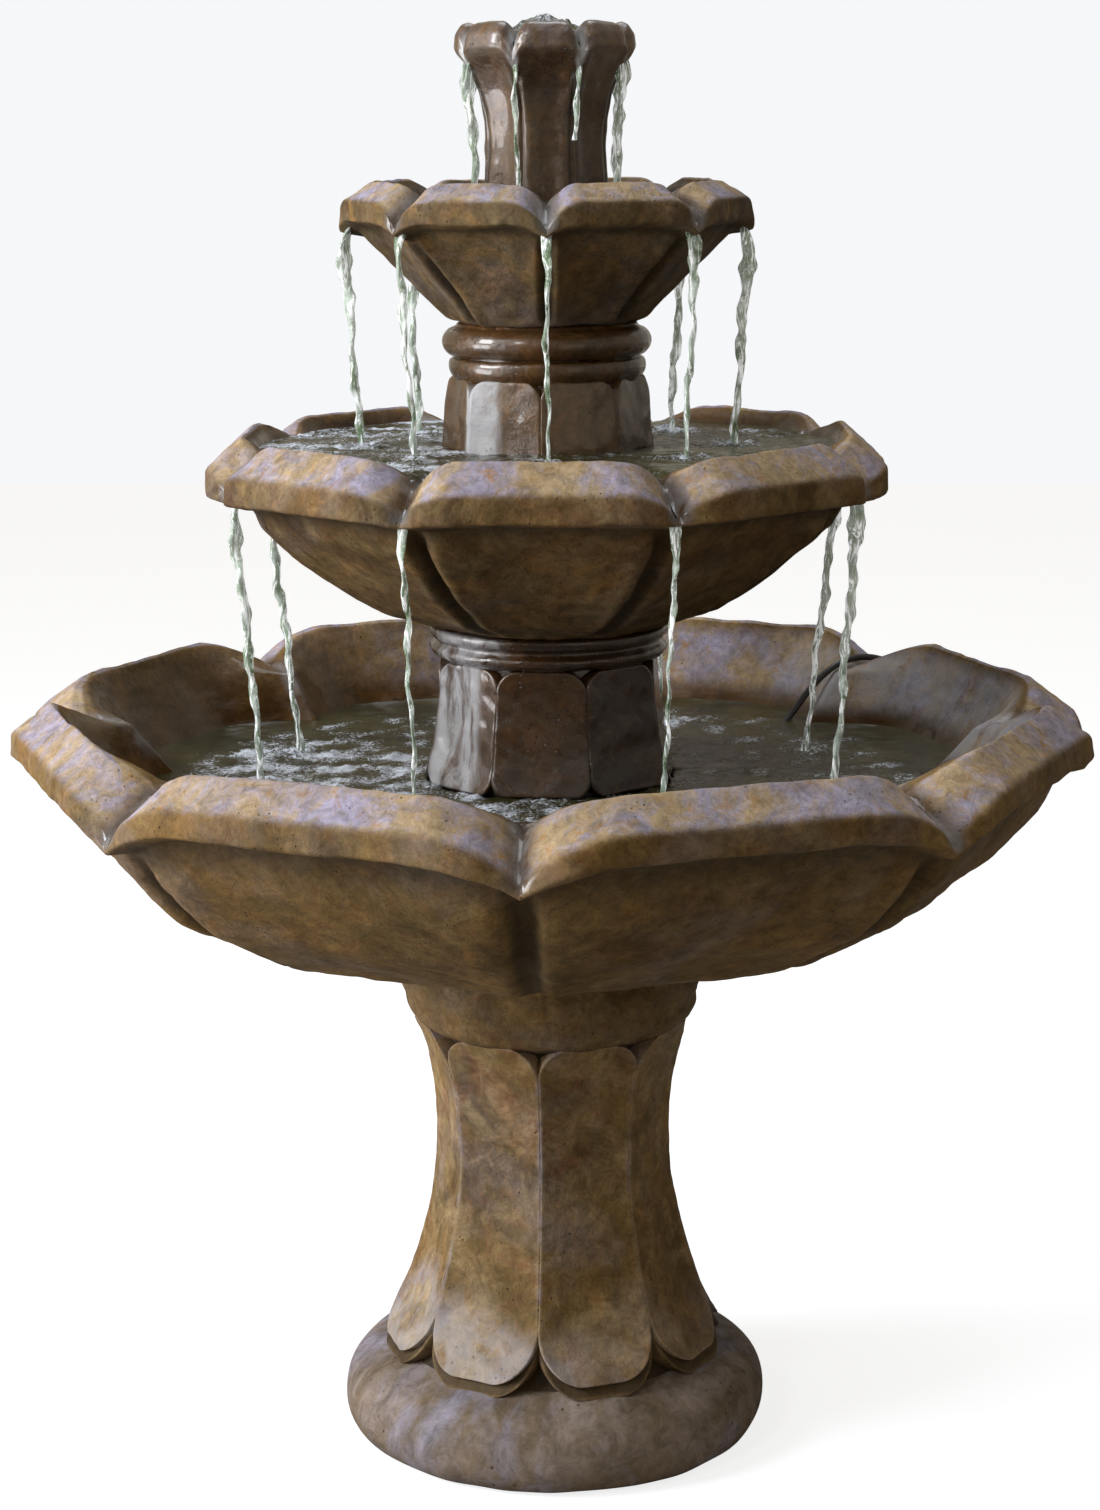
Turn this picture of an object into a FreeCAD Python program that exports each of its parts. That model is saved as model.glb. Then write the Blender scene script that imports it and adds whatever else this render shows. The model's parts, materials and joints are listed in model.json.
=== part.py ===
import FreeCAD, Part
import math
import os

V = FreeCAD.Vector
UP = V(0, 0, 1)
ORIGIN = V(0, 0, 0)

# A tiered garden fountain of cast stone, in millimetres.  The origin is on the ground at the middle
# of the base, +Z is up and -Y is the front.  Every bowl, riser and cup is divided into eight petals.
PETALS = 8
HALF = 180.0 / PETALS

# Heights where one casting stands on the next
PEDESTAL_TOP = 540.0
MAIN_FLOOR = 606.0
MIDDLE_SEAT = 895.0
MIDDLE_FLOOR = 950.0
UPPER_SEAT = 1212.0
UPPER_FLOOR = 1254.0
CUP_FLOOR = 1450.0

# How far each casting is turned about the vertical from the main bowl, whose notches face -Y
MIDDLE_TURN = 1.3
UPPER_TURN = 25.4
CUP_TURN = 4.0
PEDESTAL_TURN = 19.4
LOWER_RISER_TURN = -1.5
UPPER_RISER_TURN = 21.7

# Water hose and the bores that it rises through
HOSE_R = 10.5
HOSE_BORE_R = 7.5
HOSE_TOP = 1460.0
STONE_BORE_R = 14.0
SEAL_FLANGE_R = 18.0

# Submersible pump, in its own frame: X runs from the motor to the strainer, the outlet is on Z
PUMP_TURN = 225.0
PUMP_AXIS_Z = 646.0
MOTOR_BACK = -77.0
MOTOR_FRONT = -16.0
SPIGOT_END = -10.0
CHAMBER_END = 10.0
COVER_END = 17.0
STRAINER_END = 60.0
PUMP_BOTTOM = 616.0
PUMP_HALF_WIDTH = 32.0
ROTOR_WELL_R = 10.0
ROTOR_R = 9.6
SHAFT_R = 1.5
OUTLET_TOP = 692.0

# Drain in the back of the main bowl
DRAIN_Y = 255.0
DRAIN_R = 12.0
DRAIN_SEAT = 597.0

# Mains lead
CORD_D = 7.8
GLAND_TIP = 101.0
CORD_Z = 650.0
COIL_R = 47.0
COIL_X = -3.0
COIL_Y = 345.0
COIL_HEIGHT = 17.0
COIL_HALF_WIDTH = 12.0
CLIP_ANGLE = 154.4
CLIP_Z = 350.0
PLUG_X = -86.0
PLUG_Y = 400.0
PLUG_Z = 12.2
PLUG_HEADING = 190.0


def radial(r, z, degrees=0.0):
    """Point at radius r and height z, at an angle from -Y towards +X."""
    a = math.radians(degrees)
    return V(r * math.sin(a), -r * math.cos(a), z)


def turned(shape, degrees):
    """Copy of a shape turned about the vertical axis."""
    copy = shape.copy()
    copy.rotate(ORIGIN, UP, degrees)
    return copy


def lathe(points):
    """Solid of revolution about Z from a closed outline of (radius, height) points."""
    corners = [V(r, 0, z) for r, z in points]
    face = Part.Face(Part.makePolygon(corners + corners[:1]))
    return face.revolve(ORIGIN, UP, 360)


def tube(outer, inner, z0, z1):
    """Upright tube between two heights."""
    return lathe([(inner, z0), (outer, z0), (outer, z1), (inner, z1)])


def rod(r, z0, z1):
    return Part.makeCylinder(r, z1 - z0, V(0, 0, z0))


def ease(q, start, power):
    """0 up to start, then rising to 1 at q = 1."""
    return max(0.0, (q - start) / (1.0 - start)) ** power


def petal_outline(rows, degrees):
    """Closed radial section of a petalled casting at an angle from the middle of a petal.
    Each row is (radius, height) at mid petal, (radius, height) at the notch and where the
    surface starts to turn in towards the notch, as a fraction of the half petal."""
    q = abs(degrees) / HALF
    points = []
    for r_mid, z_mid, r_notch, z_notch, start in rows:
        chord = r_mid / math.cos(math.radians(degrees))
        chord_end = r_mid / math.cos(math.radians(HALF))
        r = chord + (r_notch - chord_end) * ease(q, start, 2.0)
        z = z_mid + (z_notch - z_mid) * ease(q, 0.5, 2.4)
        points.append(radial(r, z, degrees))
    return Part.makePolygon(points + points[:1])


def petal_ring(rows):
    """Eight petals lofted round the axis and sewn into one ring-shaped solid."""
    fractions = [0.0, 0.35, 0.6, 0.76, 0.88, 0.95, 1.0]
    angles = [-HALF * q for q in reversed(fractions)] + [HALF * q for q in fractions[1:]]
    petal = Part.makeLoft([petal_outline(rows, a) for a in angles], True, False)
    skins = []
    for face in petal.Faces:
        centre = face.CenterOfMass
        if abs(math.degrees(math.atan2(centre.x, -centre.y))) < HALF - 0.5:
            skins.append(face)
    faces = [turned(skin, 2 * HALF * i) for i in range(PETALS) for skin in skins]
    shell = Part.Compound(faces)
    shell.sewShape(0.001)
    return Part.Solid(Part.Shell(shell.Faces))


def bowl(rows, hub_r, seat, floor, turn):
    """Petalled bowl with a round hub in the middle that it stands on and carries the next riser on."""
    return turned(petal_ring(rows).fuse(rod(hub_r, seat, floor)), turn)


def bored(casting, z0, z1):
    """Casting with the upright hole that the water hose rises through."""
    return casting.cut(rod(STONE_BORE_R, z0 - 10, z1 + 10))


def panel(profile, z0, z1, corner0, corner1):
    """One tall panel of a riser: a hollow-curved face, flat across, with rounded ends.
    The profile is (radius, height) up the middle of the face."""
    back = 30.0
    r0, r1 = profile[0][0], profile[-1][0]
    face_line = Part.BSplineCurve()
    face_line.interpolate([V(0, -r, z) for r, z in profile])
    inner = [V(0, -r1, profile[-1][1]), V(0, -back, profile[-1][1]), V(0, -back, profile[0][1])]
    inner.append(V(0, -r0, profile[0][1]))
    side = Part.Wire([face_line.toShape()] + Part.makePolygon(inner).Edges)
    width = 4 * r0
    slab = Part.Face(side).extrude(V(width, 0, 0))
    slab.translate(V(-width / 2, 0, 0))
    reach = 3 * r0
    wedge = Part.Face(Part.makePolygon([ORIGIN, radial(reach, 0, -HALF), radial(reach, 0, HALF), ORIGIN]))
    wedge = wedge.extrude(V(0, 0, z1 + 50))
    half0 = r0 * math.tan(math.radians(HALF))
    half1 = r1 * math.tan(math.radians(HALF))
    middle = (z0 + z1) / 2
    slab = slab.common(wedge)
    slab = slab.common(rounded_end(half0, corner0, z0, middle, 1, reach).fuse(
        rounded_end(half1, corner1, z1, middle, -1, reach)))
    return slab


def rounded_end(half, corner, z_end, z_middle, direction, reach):
    """Block in front of the axis whose far end, seen from the front, has two round corners."""
    inner_z = z_end + direction * corner
    k = corner * (1 - math.sqrt(0.5))
    left = Part.Arc(V(-half, 0, inner_z), V(-half + k, 0, z_end + direction * k), V(-half + corner, 0, z_end))
    right = Part.Arc(V(half - corner, 0, z_end), V(half - k, 0, z_end + direction * k), V(half, 0, inner_z))
    edges = [
        left.toShape(),
        Part.makeLine(V(-half + corner, 0, z_end), V(half - corner, 0, z_end)),
        right.toShape(),
        Part.makeLine(V(half, 0, inner_z), V(half, 0, z_middle)),
        Part.makeLine(V(half, 0, z_middle), V(-half, 0, z_middle)),
        Part.makeLine(V(-half, 0, z_middle), V(-half, 0, inner_z)),
    ]
    return Part.Face(Part.Wire(edges)).extrude(V(0, -reach, 0))


def panels(profile, z0, z1, corner0, corner1, turn):
    """The eight panels round a riser."""
    one = panel(profile, z0, z1, corner0, corner1)
    return [turned(one, turn + 2 * HALF * i) for i in range(PETALS)]


def pedestal():
    """Hollow waisted pedestal on a round base, with a rolled collar under the bowl."""
    lower_roll = Part.Arc(V(216, 0, 0), V(229, 0, 15), V(233, 0, 38)).toShape()
    upper_roll = Part.Arc(V(233, 0, 38), V(221, 0, 70), V(190, 0, 84)).toShape()
    inside = Part.makePolygon([V(190, 0, 84), V(180, 0, 92), V(172, 0, 98), V(0, 0, 98), V(0, 0, 0), V(216, 0, 0)])
    base = Part.Face(Part.Wire([lower_roll, upper_roll] + inside.Edges)).revolve(ORIGIN, UP, 360)
    core = lathe([(0, 90), (174, 90), (156, 118), (132, 170), (117, 240), (111, 330), (114, 400), (124, 440),
                  (138, 469), (0, 469)])
    collar = lathe([(0, 455), (132, 455), (150, 467), (158, 478), (162, 494), (161, 512), (157, 524), (154, 528),
                    (155, 540), (0, 540)])
    face = [(188, 98), (176, 117), (156, 150), (139, 200), (124, 270), (119, 340), (123, 400), (134, 440),
            (146, 466)]
    foot = [(183, 92), (171, 117), (152, 150), (136, 192)]
    body = base.fuse([core, collar] + panels(face, 104, 466, 32, 30, PEDESTAL_TURN)
                     + panels(foot, 93, 180, 32, 10, PEDESTAL_TURN))
    hollow = lathe([(0, -5), (145, -5), (135, 60), (95, 160), (72, 300), (72, 545), (0, 545)])
    return body.cut(hollow)


MAIN_ROWS = [
    (150, 600, 150, 600, 0.0),
    (300, 602, 290, 602, 0.0),
    (392, 650, 345, 650, 0.3),
    (460, 731, 405, 731, 0.3),
    (494, 785, 452, 783, 0.3),
    (508, 816, 484, 784, 0.4),
    (513, 821, 514, 780, 0.5),
    (552, 791, 560, 748, 0.6),
    (553, 765, 570, 737, 0.6),
    (525, 757, 538, 730, 0.6),
    (494, 702, 498, 696, 0.8),
    (438, 641, 446, 641, 0.8),
    (337, 585, 346, 585, 0.8),
    (212, 550, 220, 550, 0.8),
    (150, 543, 155, 543, 0.8),
]

MIDDLE_ROWS = [
    (105, 945, 105, 945, 0.0),
    (165, 952, 155, 952, 0.0),
    (225, 985, 205, 985, 0.3),
    (272, 1040, 245, 1040, 0.3),
    (298, 1078, 280, 1070, 0.3),
    (309, 1096, 294, 1076, 0.4),
    (314, 1100, 315, 1068, 0.5),
    (349, 1069, 340, 1045, 0.6),
    (350, 1042, 345.5, 1037, 0.6),
    (309, 1034, 308, 1029, 0.6),
    (291, 1010, 289, 1008, 0.8),
    (232, 955, 234, 955, 0.8),
    (175, 917, 179, 917, 0.8),
    (127, 900, 131, 900, 0.8),
    (105, 897, 108, 897, 0.8),
]

UPPER_ROWS = [
    (80, 1250, 80, 1250, 0.0),
    (100, 1256, 94, 1256, 0.0),
    (130, 1285, 115, 1285, 0.3),
    (152, 1320, 138, 1318, 0.3),
    (166, 1342, 155, 1332, 0.3),
    (172, 1353, 166, 1334, 0.4),
    (177, 1356, 184, 1330, 0.5),
    (205, 1338, 211, 1312, 0.6),
    (205, 1316, 214, 1305, 0.6),
    (184, 1310, 192, 1299, 0.6),
    (172, 1296, 176, 1290, 0.8),
    (141, 1262, 143, 1262, 0.8),
    (108, 1227, 109, 1227, 0.8),
    (99, 1216, 100, 1216, 0.8),
    (80, 1214, 81, 1214, 0.8),
]

CUP_ROWS = [
    (25, 1446, 25, 1446, 0.0),
    (44, 1450, 42, 1450, 0.0),
    (52, 1470, 49, 1468, 0.2),
    (62, 1496, 57, 1490, 0.2),
    (70, 1509, 66, 1495, 0.3),
    (77, 1514, 75, 1494, 0.4),
    (85, 1511, 84, 1490, 0.4),
    (91, 1501, 89, 1483, 0.4),
    (92, 1489, 89, 1474, 0.4),
    (88, 1481, 82, 1464, 0.4),
    (78, 1469, 73, 1452, 0.5),
    (66, 1445, 66, 1432, 0.8),
    (60, 1415, 63, 1410, 0.8),
    (60, 1380, 63, 1380, 0.8),
    (62, 1330, 65, 1330, 0.8),
    (67, 1270, 70, 1270, 0.8),
    (71, 1254, 74, 1254, 0.8),
    (25, 1254, 25, 1254, 0.0),
]


def main_bowl():
    """Largest bowl, which holds the water and the pump, with a drain hole at the back."""
    body = bowl(MAIN_ROWS, 170, PEDESTAL_TOP, MAIN_FLOOR, HALF)
    drain = Part.makeCylinder(DRAIN_R, 100, V(0, DRAIN_Y, DRAIN_SEAT - 80))
    recess = Part.makeCylinder(20, 40, V(0, DRAIN_Y, DRAIN_SEAT))
    return body.cut([drain, recess])


def middle_bowl():
    body = bowl(MIDDLE_ROWS, 122, MIDDLE_SEAT, MIDDLE_FLOOR, MIDDLE_TURN)
    return bored(body, MIDDLE_SEAT, MIDDLE_FLOOR)


def upper_bowl():
    body = bowl(UPPER_ROWS, 94, UPPER_SEAT, UPPER_FLOOR, UPPER_TURN)
    return bored(body, UPPER_SEAT, UPPER_FLOOR)


def top_cup():
    """Tulip-shaped cup with eight rolled lips; its shaft is solid round the hose."""
    body = bowl(CUP_ROWS, 40, UPPER_FLOOR, CUP_FLOOR + 2, CUP_TURN)
    return bored(body, UPPER_FLOOR, CUP_FLOOR).cut(rod(SEAL_FLANGE_R + 2, UPPER_FLOOR - 5, UPPER_FLOOR + 8))


def arch(degrees, half_width, z0, z_spring):
    """Arched doorway cut outwards from the axis in one direction."""
    reach = 220.0
    block = Part.makeBox(2 * half_width, reach, z_spring - z0, V(-half_width, -reach, z0))
    head = Part.makeCylinder(half_width, reach, V(0, 0, z_spring), V(0, -1, 0))
    return turned(block.fuse(head), degrees)


def lower_riser():
    """Hollow drum that hides the pump and carries the middle bowl; two arches open at its back."""
    plinth = lathe([(0, MAIN_FLOOR), (142, MAIN_FLOOR), (142, 690), (138, 697), (136, 706), (139, 712), (137, 722),
                    (128, 728), (0, 728)])
    core = lathe([(0, 720), (124, 720), (118, 745), (110, 790), (107, 830), (107, 866), (0, 866)])
    rings = lathe([(0, 860), (112, 860), (122, 864), (126, 868), (126, 874), (120, 878), (120, 882), (127, 885),
                   (127, MIDDLE_SEAT), (0, MIDDLE_SEAT)])
    face = [(134, 722), (124, 755), (118, 790), (114, 830), (114, 866)]
    body = plinth.fuse([core, rings] + panels(face, 731, 861, 20, 24, LOWER_RISER_TURN))
    room = lathe([(0, MAIN_FLOOR - 5), (98, MAIN_FLOOR - 5), (98, 740), (78, 790), (30, 815), (30, 900), (0, 900)])
    return body.cut([room, arch(135, 26, MAIN_FLOOR - 5, 662), arch(225, 26, MAIN_FLOOR - 5, 662)])


def upper_riser():
    """Hollow drum between the middle and upper bowls with a round bead at its top."""
    foot = lathe([(0, MIDDLE_FLOOR), (119, MIDDLE_FLOOR), (119, 975), (113, 982), (0, 982)])
    core = lathe([(0, 970), (108, 970), (104, 1020), (98, 1100), (95, 1160), (0, 1160)])
    fillet = lathe([(0, 1150), (95, 1150), (101, 1159), (103, 1163), (103, 1173), (101, 1176), (0, 1176)])
    bead = Part.makeTorus(94, 15.5, V(0, 0, 1192)).fuse(
        lathe([(0, 1170), (99, 1170), (97, 1180), (97, UPPER_SEAT), (0, UPPER_SEAT)]))
    face = [(114, 976), (109, 1020), (104, 1080), (100, 1130), (98, 1162)]
    body = foot.fuse([core, fillet, bead] + panels(face, 982, 1156, 20, 20, UPPER_RISER_TURN))
    return body.cut(lathe([(0, 940), (70, 940), (70, 1150), (60, 1175), (60, 1220), (0, 1220)]))


def pumpwards(shape):
    """Places a shape drawn in the pump's own frame."""
    return turned(shape, PUMP_TURN)


def along_x(r, x0, x1, y=0.0, z=PUMP_AXIS_Z):
    return Part.makeCylinder(r, x1 - x0, V(x0, y, z), V(1, 0, 0))


def block(x0, x1, half_width, z0, z1, fillet=0.0):
    """Box across the pump's centre plane, its long edges rounded when a fillet is given."""
    box = Part.makeBox(x1 - x0, 2 * half_width, z1 - z0, V(x0, -half_width, z0))
    if fillet:
        long_edges = [e for e in box.Edges if abs(e.Vertexes[0].X - e.Vertexes[1].X) > 1]
        box = box.makeFillet(fillet, long_edges)
    return box


def pump_motor_housing():
    """Potted motor block with the rotor well, the spigot for the front cover and a cord gland boss."""
    body = block(MOTOR_BACK, MOTOR_FRONT, PUMP_HALF_WIDTH, PUMP_BOTTOM, 677, 8)
    fins = [block(x, x + 4, PUMP_HALF_WIDTH - 10, 670, 681) for x in (-66, -56, -46, -36)]
    spigot = along_x(26, MOTOR_FRONT, SPIGOT_END)
    well = along_x(ROTOR_WELL_R, -62, SPIGOT_END)
    socket = along_x(SHAFT_R, -67, -62)
    return pumpwards(body.fuse(fins + [spigot]).cut([well, socket]))


def pump_volute_cover():
    """Front casing round the impeller with the upright outlet and a three-armed shaft carrier."""
    shell = along_x(33, MOTOR_FRONT, COVER_END)
    outlet = rod(13, PUMP_AXIS_Z, OUTLET_TOP)
    body = shell.fuse(outlet)
    spigot_bore = along_x(29, MOTOR_FRONT, SPIGOT_END)
    chamber = along_x(25, SPIGOT_END, CHAMBER_END)
    eye = along_x(11, CHAMBER_END, COVER_END)
    body = body.cut([spigot_bore, chamber, eye, rod(8, PUMP_AXIS_Z, OUTLET_TOP + 5)])
    arms = [Part.makeBox(4, 3, 13, V(CHAMBER_END + 1, -1.5, PUMP_AXIS_Z)) for _ in range(3)]
    for i, arm in enumerate(arms):
        arm.rotate(V(0, 0, PUMP_AXIS_Z), V(1, 0, 0), 120 * i)
    carrier = along_x(3.5, CHAMBER_END + 1, CHAMBER_END + 5)
    body = body.fuse([carrier] + arms)
    return pumpwards(body.cut(along_x(SHAFT_R, CHAMBER_END - 2, CHAMBER_END + 4)))


def volute_seal():
    """O-ring squeezed between the spigot and the cover."""
    ring = Part.makeTorus(27.5, 1.6, V(-13, 0, PUMP_AXIS_Z), V(1, 0, 0))
    return pumpwards(ring)


def impeller():
    """Magnet rotor and bladed wheel in one moulding, running on the fixed shaft."""
    rotor = along_x(ROTOR_R, -60, -8)
    wheel = along_x(21, -8, -5)
    hub = along_x(5, -5, 6)
    blades = []
    for i in range(6):
        blade = Part.makeBox(11, 1.8, 16, V(-5.5, -0.9, PUMP_AXIS_Z + 4))
        blade.rotate(V(0, 0, PUMP_AXIS_Z), V(1, 0, 0), 60 * i)
        blades.append(blade)
    body = rotor.fuse([wheel, hub] + blades)
    return pumpwards(body.cut(along_x(SHAFT_R + 0.06, -65, 10)))


def impeller_shaft():
    return pumpwards(along_x(SHAFT_R, -67, CHAMBER_END + 4))


def intake_strainer():
    """Slotted cover over the intake, open towards the motor."""
    outside = block(COVER_END, STRAINER_END, 28, PUMP_BOTTOM, 676, 7)
    inside = block(COVER_END - 1, STRAINER_END - 2.5, 25.5, PUMP_BOTTOM + 2.5, 673.5, 5)
    slots = []
    for i in range(6):
        x = COVER_END + 5 + 6 * i
        slots.append(Part.makeBox(3, 80, 40, V(x, -40, PUMP_AXIS_Z - 20)))
        slots.append(Part.makeBox(3, 36, 80, V(x, -18, PUMP_BOTTOM + 10)))
    hole = along_x(3.1, STRAINER_END - 10, STRAINER_END + 5)
    return pumpwards(outside.cut([inside, hole] + slots))


def flow_control_dial():
    """Round dial with a finger bar; its stem goes through the strainer to a shutter blade."""
    dial = along_x(13, STRAINER_END + 0.3, STRAINER_END + 4)
    bar = Part.makeBox(5, 4, 22, V(STRAINER_END + 3, -2, PUMP_AXIS_Z - 11))
    stem = along_x(3.04, STRAINER_END - 6, STRAINER_END + 1)
    shutter = along_x(16, STRAINER_END - 6, STRAINER_END - 4).common(
        Part.makeBox(20, 40, 40, V(STRAINER_END - 10, -20, PUMP_AXIS_Z - 5)))
    return pumpwards(dial.fuse([bar, stem, shutter]))


def suction_feet():
    """Four rubber suction cups under the pump."""
    cups = []
    for x in (-62, 46):
        for y in (-18, 18):
            cup = lathe([(0, 611), (5, 611), (10, MAIN_FLOOR), (8.4, MAIN_FLOOR), (3, 609), (0, 609)])
            cup = cup.fuse(rod(3, 610, PUMP_BOTTOM))
            cup.translate(V(x, y, 0))
            cups.append(pumpwards(cup))
    return Part.Compound(cups)


def cord_gland():
    """Tapered rubber strain relief on the back of the motor, pointing out of the arch."""
    r = CORD_D / 2
    outline = [(0, 0), (9, 0), (9, 3), (6.2, 5), (5.4, 20), (r + 0.7, 24), (0, 24)]
    sleeve = lathe(outline)
    sleeve.rotate(ORIGIN, V(0, 1, 0), -90)
    sleeve.translate(V(MOTOR_BACK, 0, CORD_Z))
    return pumpwards(sleeve)


def outlet_adaptor():
    """Hose barb pressed into the pump outlet, with a flange."""
    z = OUTLET_TOP
    outline = [(5.5, z - 14), (8, z - 14), (8, z), (12, z), (12, z + 5), (7.5, z + 5), (7.5, z + 8)]
    for i in range(3):
        step = z + 8 + 6 * i
        outline += [(8.1, step), (7.3, step + 6)]
    outline += [(5.5, z + 26)]
    return lathe(outline)


def riser_hose():
    return tube(HOSE_R, HOSE_BORE_R, OUTLET_TOP + 6, HOSE_TOP)


def hose_clamp():
    """Stainless band round the hose over the barb, with its screw housing."""
    band = tube(HOSE_R + 1, HOSE_R, OUTLET_TOP + 11, OUTLET_TOP + 20)
    housing = Part.makeBox(8, 14, 9, V(HOSE_R, -7, OUTLET_TOP + 11))
    screw_way = Part.makeCylinder(2.6, 20, V(HOSE_R + 4.5, -10, OUTLET_TOP + 15.5), V(0, 1, 0))
    return band.fuse(housing.cut(tube(HOSE_R, 0.01, OUTLET_TOP, OUTLET_TOP + 30))).cut(screw_way)


def hose_clamp_screw():
    head = Part.makeCylinder(3.6, 5, V(HOSE_R + 4.5, -12, OUTLET_TOP + 15.5), V(0, 1, 0))
    shank = Part.makeCylinder(2.5, 17, V(HOSE_R + 4.5, -8, OUTLET_TOP + 15.5), V(0, 1, 0))
    slot = Part.makeBox(8, 1.5, 1, V(HOSE_R + 0.5, -12, OUTLET_TOP + 15))
    return head.fuse(shank).cut(slot)


def hose_seal(floor):
    """Flanged rubber grommet that closes the gap round the hose in a bowl's floor."""
    return lathe([(HOSE_R, floor - 22), (STONE_BORE_R - 0.6, floor - 22), (STONE_BORE_R, floor - 4),
                  (STONE_BORE_R, floor), (SEAL_FLANGE_R, floor), (SEAL_FLANGE_R - 1, floor + 5),
                  (HOSE_R, floor + 6)])


def spout_nozzle():
    """Nozzle pushed over the end of the hose in the top cup."""
    z = HOSE_TOP
    return lathe([(HOSE_R, z - 2), (13.5, z - 2), (13.5, z + 8), (10, z + 16), (8.5, z + 30), (6, z + 30),
                  (6, z), (HOSE_R, z)])


def drain_stopper():
    """Rubber plug in the main bowl's drain, with a moulded pull ring."""
    plug = lathe([(0, DRAIN_SEAT - 28), (10.6, DRAIN_SEAT - 28), (DRAIN_R - 0.08, DRAIN_SEAT - 4),
                  (DRAIN_R - 0.08, DRAIN_SEAT), (18, DRAIN_SEAT), (17, DRAIN_SEAT + 4), (0, DRAIN_SEAT + 5)])
    ring = Part.makeTorus(7, 1.6, V(0, 0, DRAIN_SEAT + 10.5), V(1, 0, 0))
    body = plug.fuse(ring)
    body.translate(V(0, DRAIN_Y, 0))
    return body


# The lead leaves the pump through the arch, climbs the wall beside the back right notch, goes over the
# notch, sags under the bowl to a clip on the pedestal and goes down the pedestal's back to the coil.
LEAD_ROUTE = [
    radial(GLAND_TIP, CORD_Z, 135),
    radial(134, 650, 135),
    radial(176, 642, 135.5),
    radial(222, 641, 136.5),
    radial(268, 655, 137.5),
    radial(312, 680, 138),
    radial(356, 706, 138.5),
    radial(398, 735, 138.3),
    radial(430, 771, 137.2),
    radial(462, 796, 135.5),
    radial(508, 797, 134.9),
    radial(552, 781, 135),
    radial(584, 745, 135.2),
    radial(594, 696, 135.5),
    radial(576, 640, 136),
    radial(534, 592, 137),
    radial(480, 554, 139),
    radial(420, 525, 141),
    radial(358, 504, 144),
    radial(296, 490, 148),
    radial(236, 481, 152),
    radial(186, 462, 154.4),
    radial(152, 424, 154.6),
    radial(137, 374, 154.2),
    radial(131, 324, 154.4),
    radial(134, 274, 154.8),
    radial(144, 226, 155.5),
    radial(160, 182, 157),
    radial(184, 142, 159),
    radial(217, 107, 162),
    radial(251, 76, 165),
    radial(279, 40, 168),
    radial(306, 11, 170.4),
    V(53.5, 330, 4.4),
    V(52.0, 348, 4.2),
]
# The other end leaves the top of the coil on its far side and runs to the plug beside it.
TAIL_ROUTE = [
    V(COIL_X, COIL_Y + 53, 12.6),
    V(-32, 401, 11.8),
    V(PLUG_X + 28, 404, 11.8),
    V(PLUG_X, PLUG_Y, PLUG_Z),
]


def arc_path(points):
    """Straight runs joined by tangent arcs, each as large as its two runs allow."""
    edges = []
    radii = []
    start = points[0]
    for before, corner, after in zip(points, points[1:], points[2:]):
        back = before - corner
        on = after - corner
        run = min(back.Length, on.Length)
        back.normalize()
        on.normalize()
        turn = math.pi - math.acos(max(-1.0, min(1.0, back.dot(on))))
        cut = 0.45 * run
        radius = cut / math.tan(turn / 2)
        first = corner + back * cut
        last = corner + on * cut
        towards = (back + on).normalize()
        middle = corner + towards * (radius / math.cos(turn / 2) - radius)
        edges.append(Part.LineSegment(start, first).toShape())
        edges.append(Part.Arc(first, middle, last).toShape())
        radii.append(radius)
        start = last
    edges.append(Part.LineSegment(start, points[-1]).toShape())
    return Part.Wire(edges), radii


def cord_tube(name, points):
    """Round lead along a route; its radii and volume are printed so that they can be checked."""
    path, radii = arc_path(points)
    section = Part.Wire([Part.makeCircle(CORD_D / 2, points[0], points[1] - points[0])])
    solid = path.makePipeShell([section], True, False)
    expected = math.pi * CORD_D ** 2 / 4 * path.Length
    print(name, "length %.0f" % path.Length, "volume / section x length %.4f" % (solid.Volume / expected))
    print("  radii / diameter", " ".join("%.1f" % (r / CORD_D) for r in radii))
    return solid


def cord_coil():
    """Outer shape of the put-away coil: its turns side by side, two high."""
    r0 = COIL_R - COIL_HALF_WIDTH
    r1 = COIL_R + COIL_HALF_WIDTH
    ring = tube(r1, r0, 0, COIL_HEIGHT)
    ring.translate(V(COIL_X, COIL_Y, 0))
    return ring


def coil_tie():
    """Hook-and-loop strap round the coil's turns, on the side nearest the pedestal."""
    wall = 1.2
    outer = Part.makeBox(14, 2 * (COIL_HALF_WIDTH + wall), COIL_HEIGHT + wall, V(-7, -COIL_HALF_WIDTH - wall, 0))
    inner = Part.makeBox(20, 2 * COIL_HALF_WIDTH, COIL_HEIGHT - wall, V(-10, -COIL_HALF_WIDTH, wall))
    band = outer.cut(inner)
    band.translate(V(COIL_X, COIL_Y - COIL_R, 0))
    return band


def plugwards(shape):
    """Places a shape drawn with the lead arriving at the origin along +X."""
    shape.rotate(ORIGIN, UP, PLUG_HEADING)
    shape.translate(V(PLUG_X, PLUG_Y, PLUG_Z))
    return shape


def plug_body():
    """Moulded three-pin plug with a tapered strain relief, lying on its side."""
    neck = Part.makeCone(CORD_D / 2 + 0.9, 8.5, 26, ORIGIN, V(1, 0, 0))
    head = Part.makeBox(26, 27, 23, V(24, -13.5, -PLUG_Z + 0.7))
    head = head.makeFillet(5, [e for e in head.Edges if abs(e.Vertexes[0].X - e.Vertexes[1].X) > 1])
    return plugwards(neck.fuse(head))


def plug_pins():
    """Two flat blades and the round earth pin."""
    blades = [Part.makeBox(24, 1.5, 6.4, V(44, y - 0.75, -1.5)) for y in (-6.35, 6.35)]
    earth = Part.makeCylinder(2.4, 27, V(44, 0, -6.5), V(1, 0, 0))
    return plugwards(Part.Compound(blades + [earth]))


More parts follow.
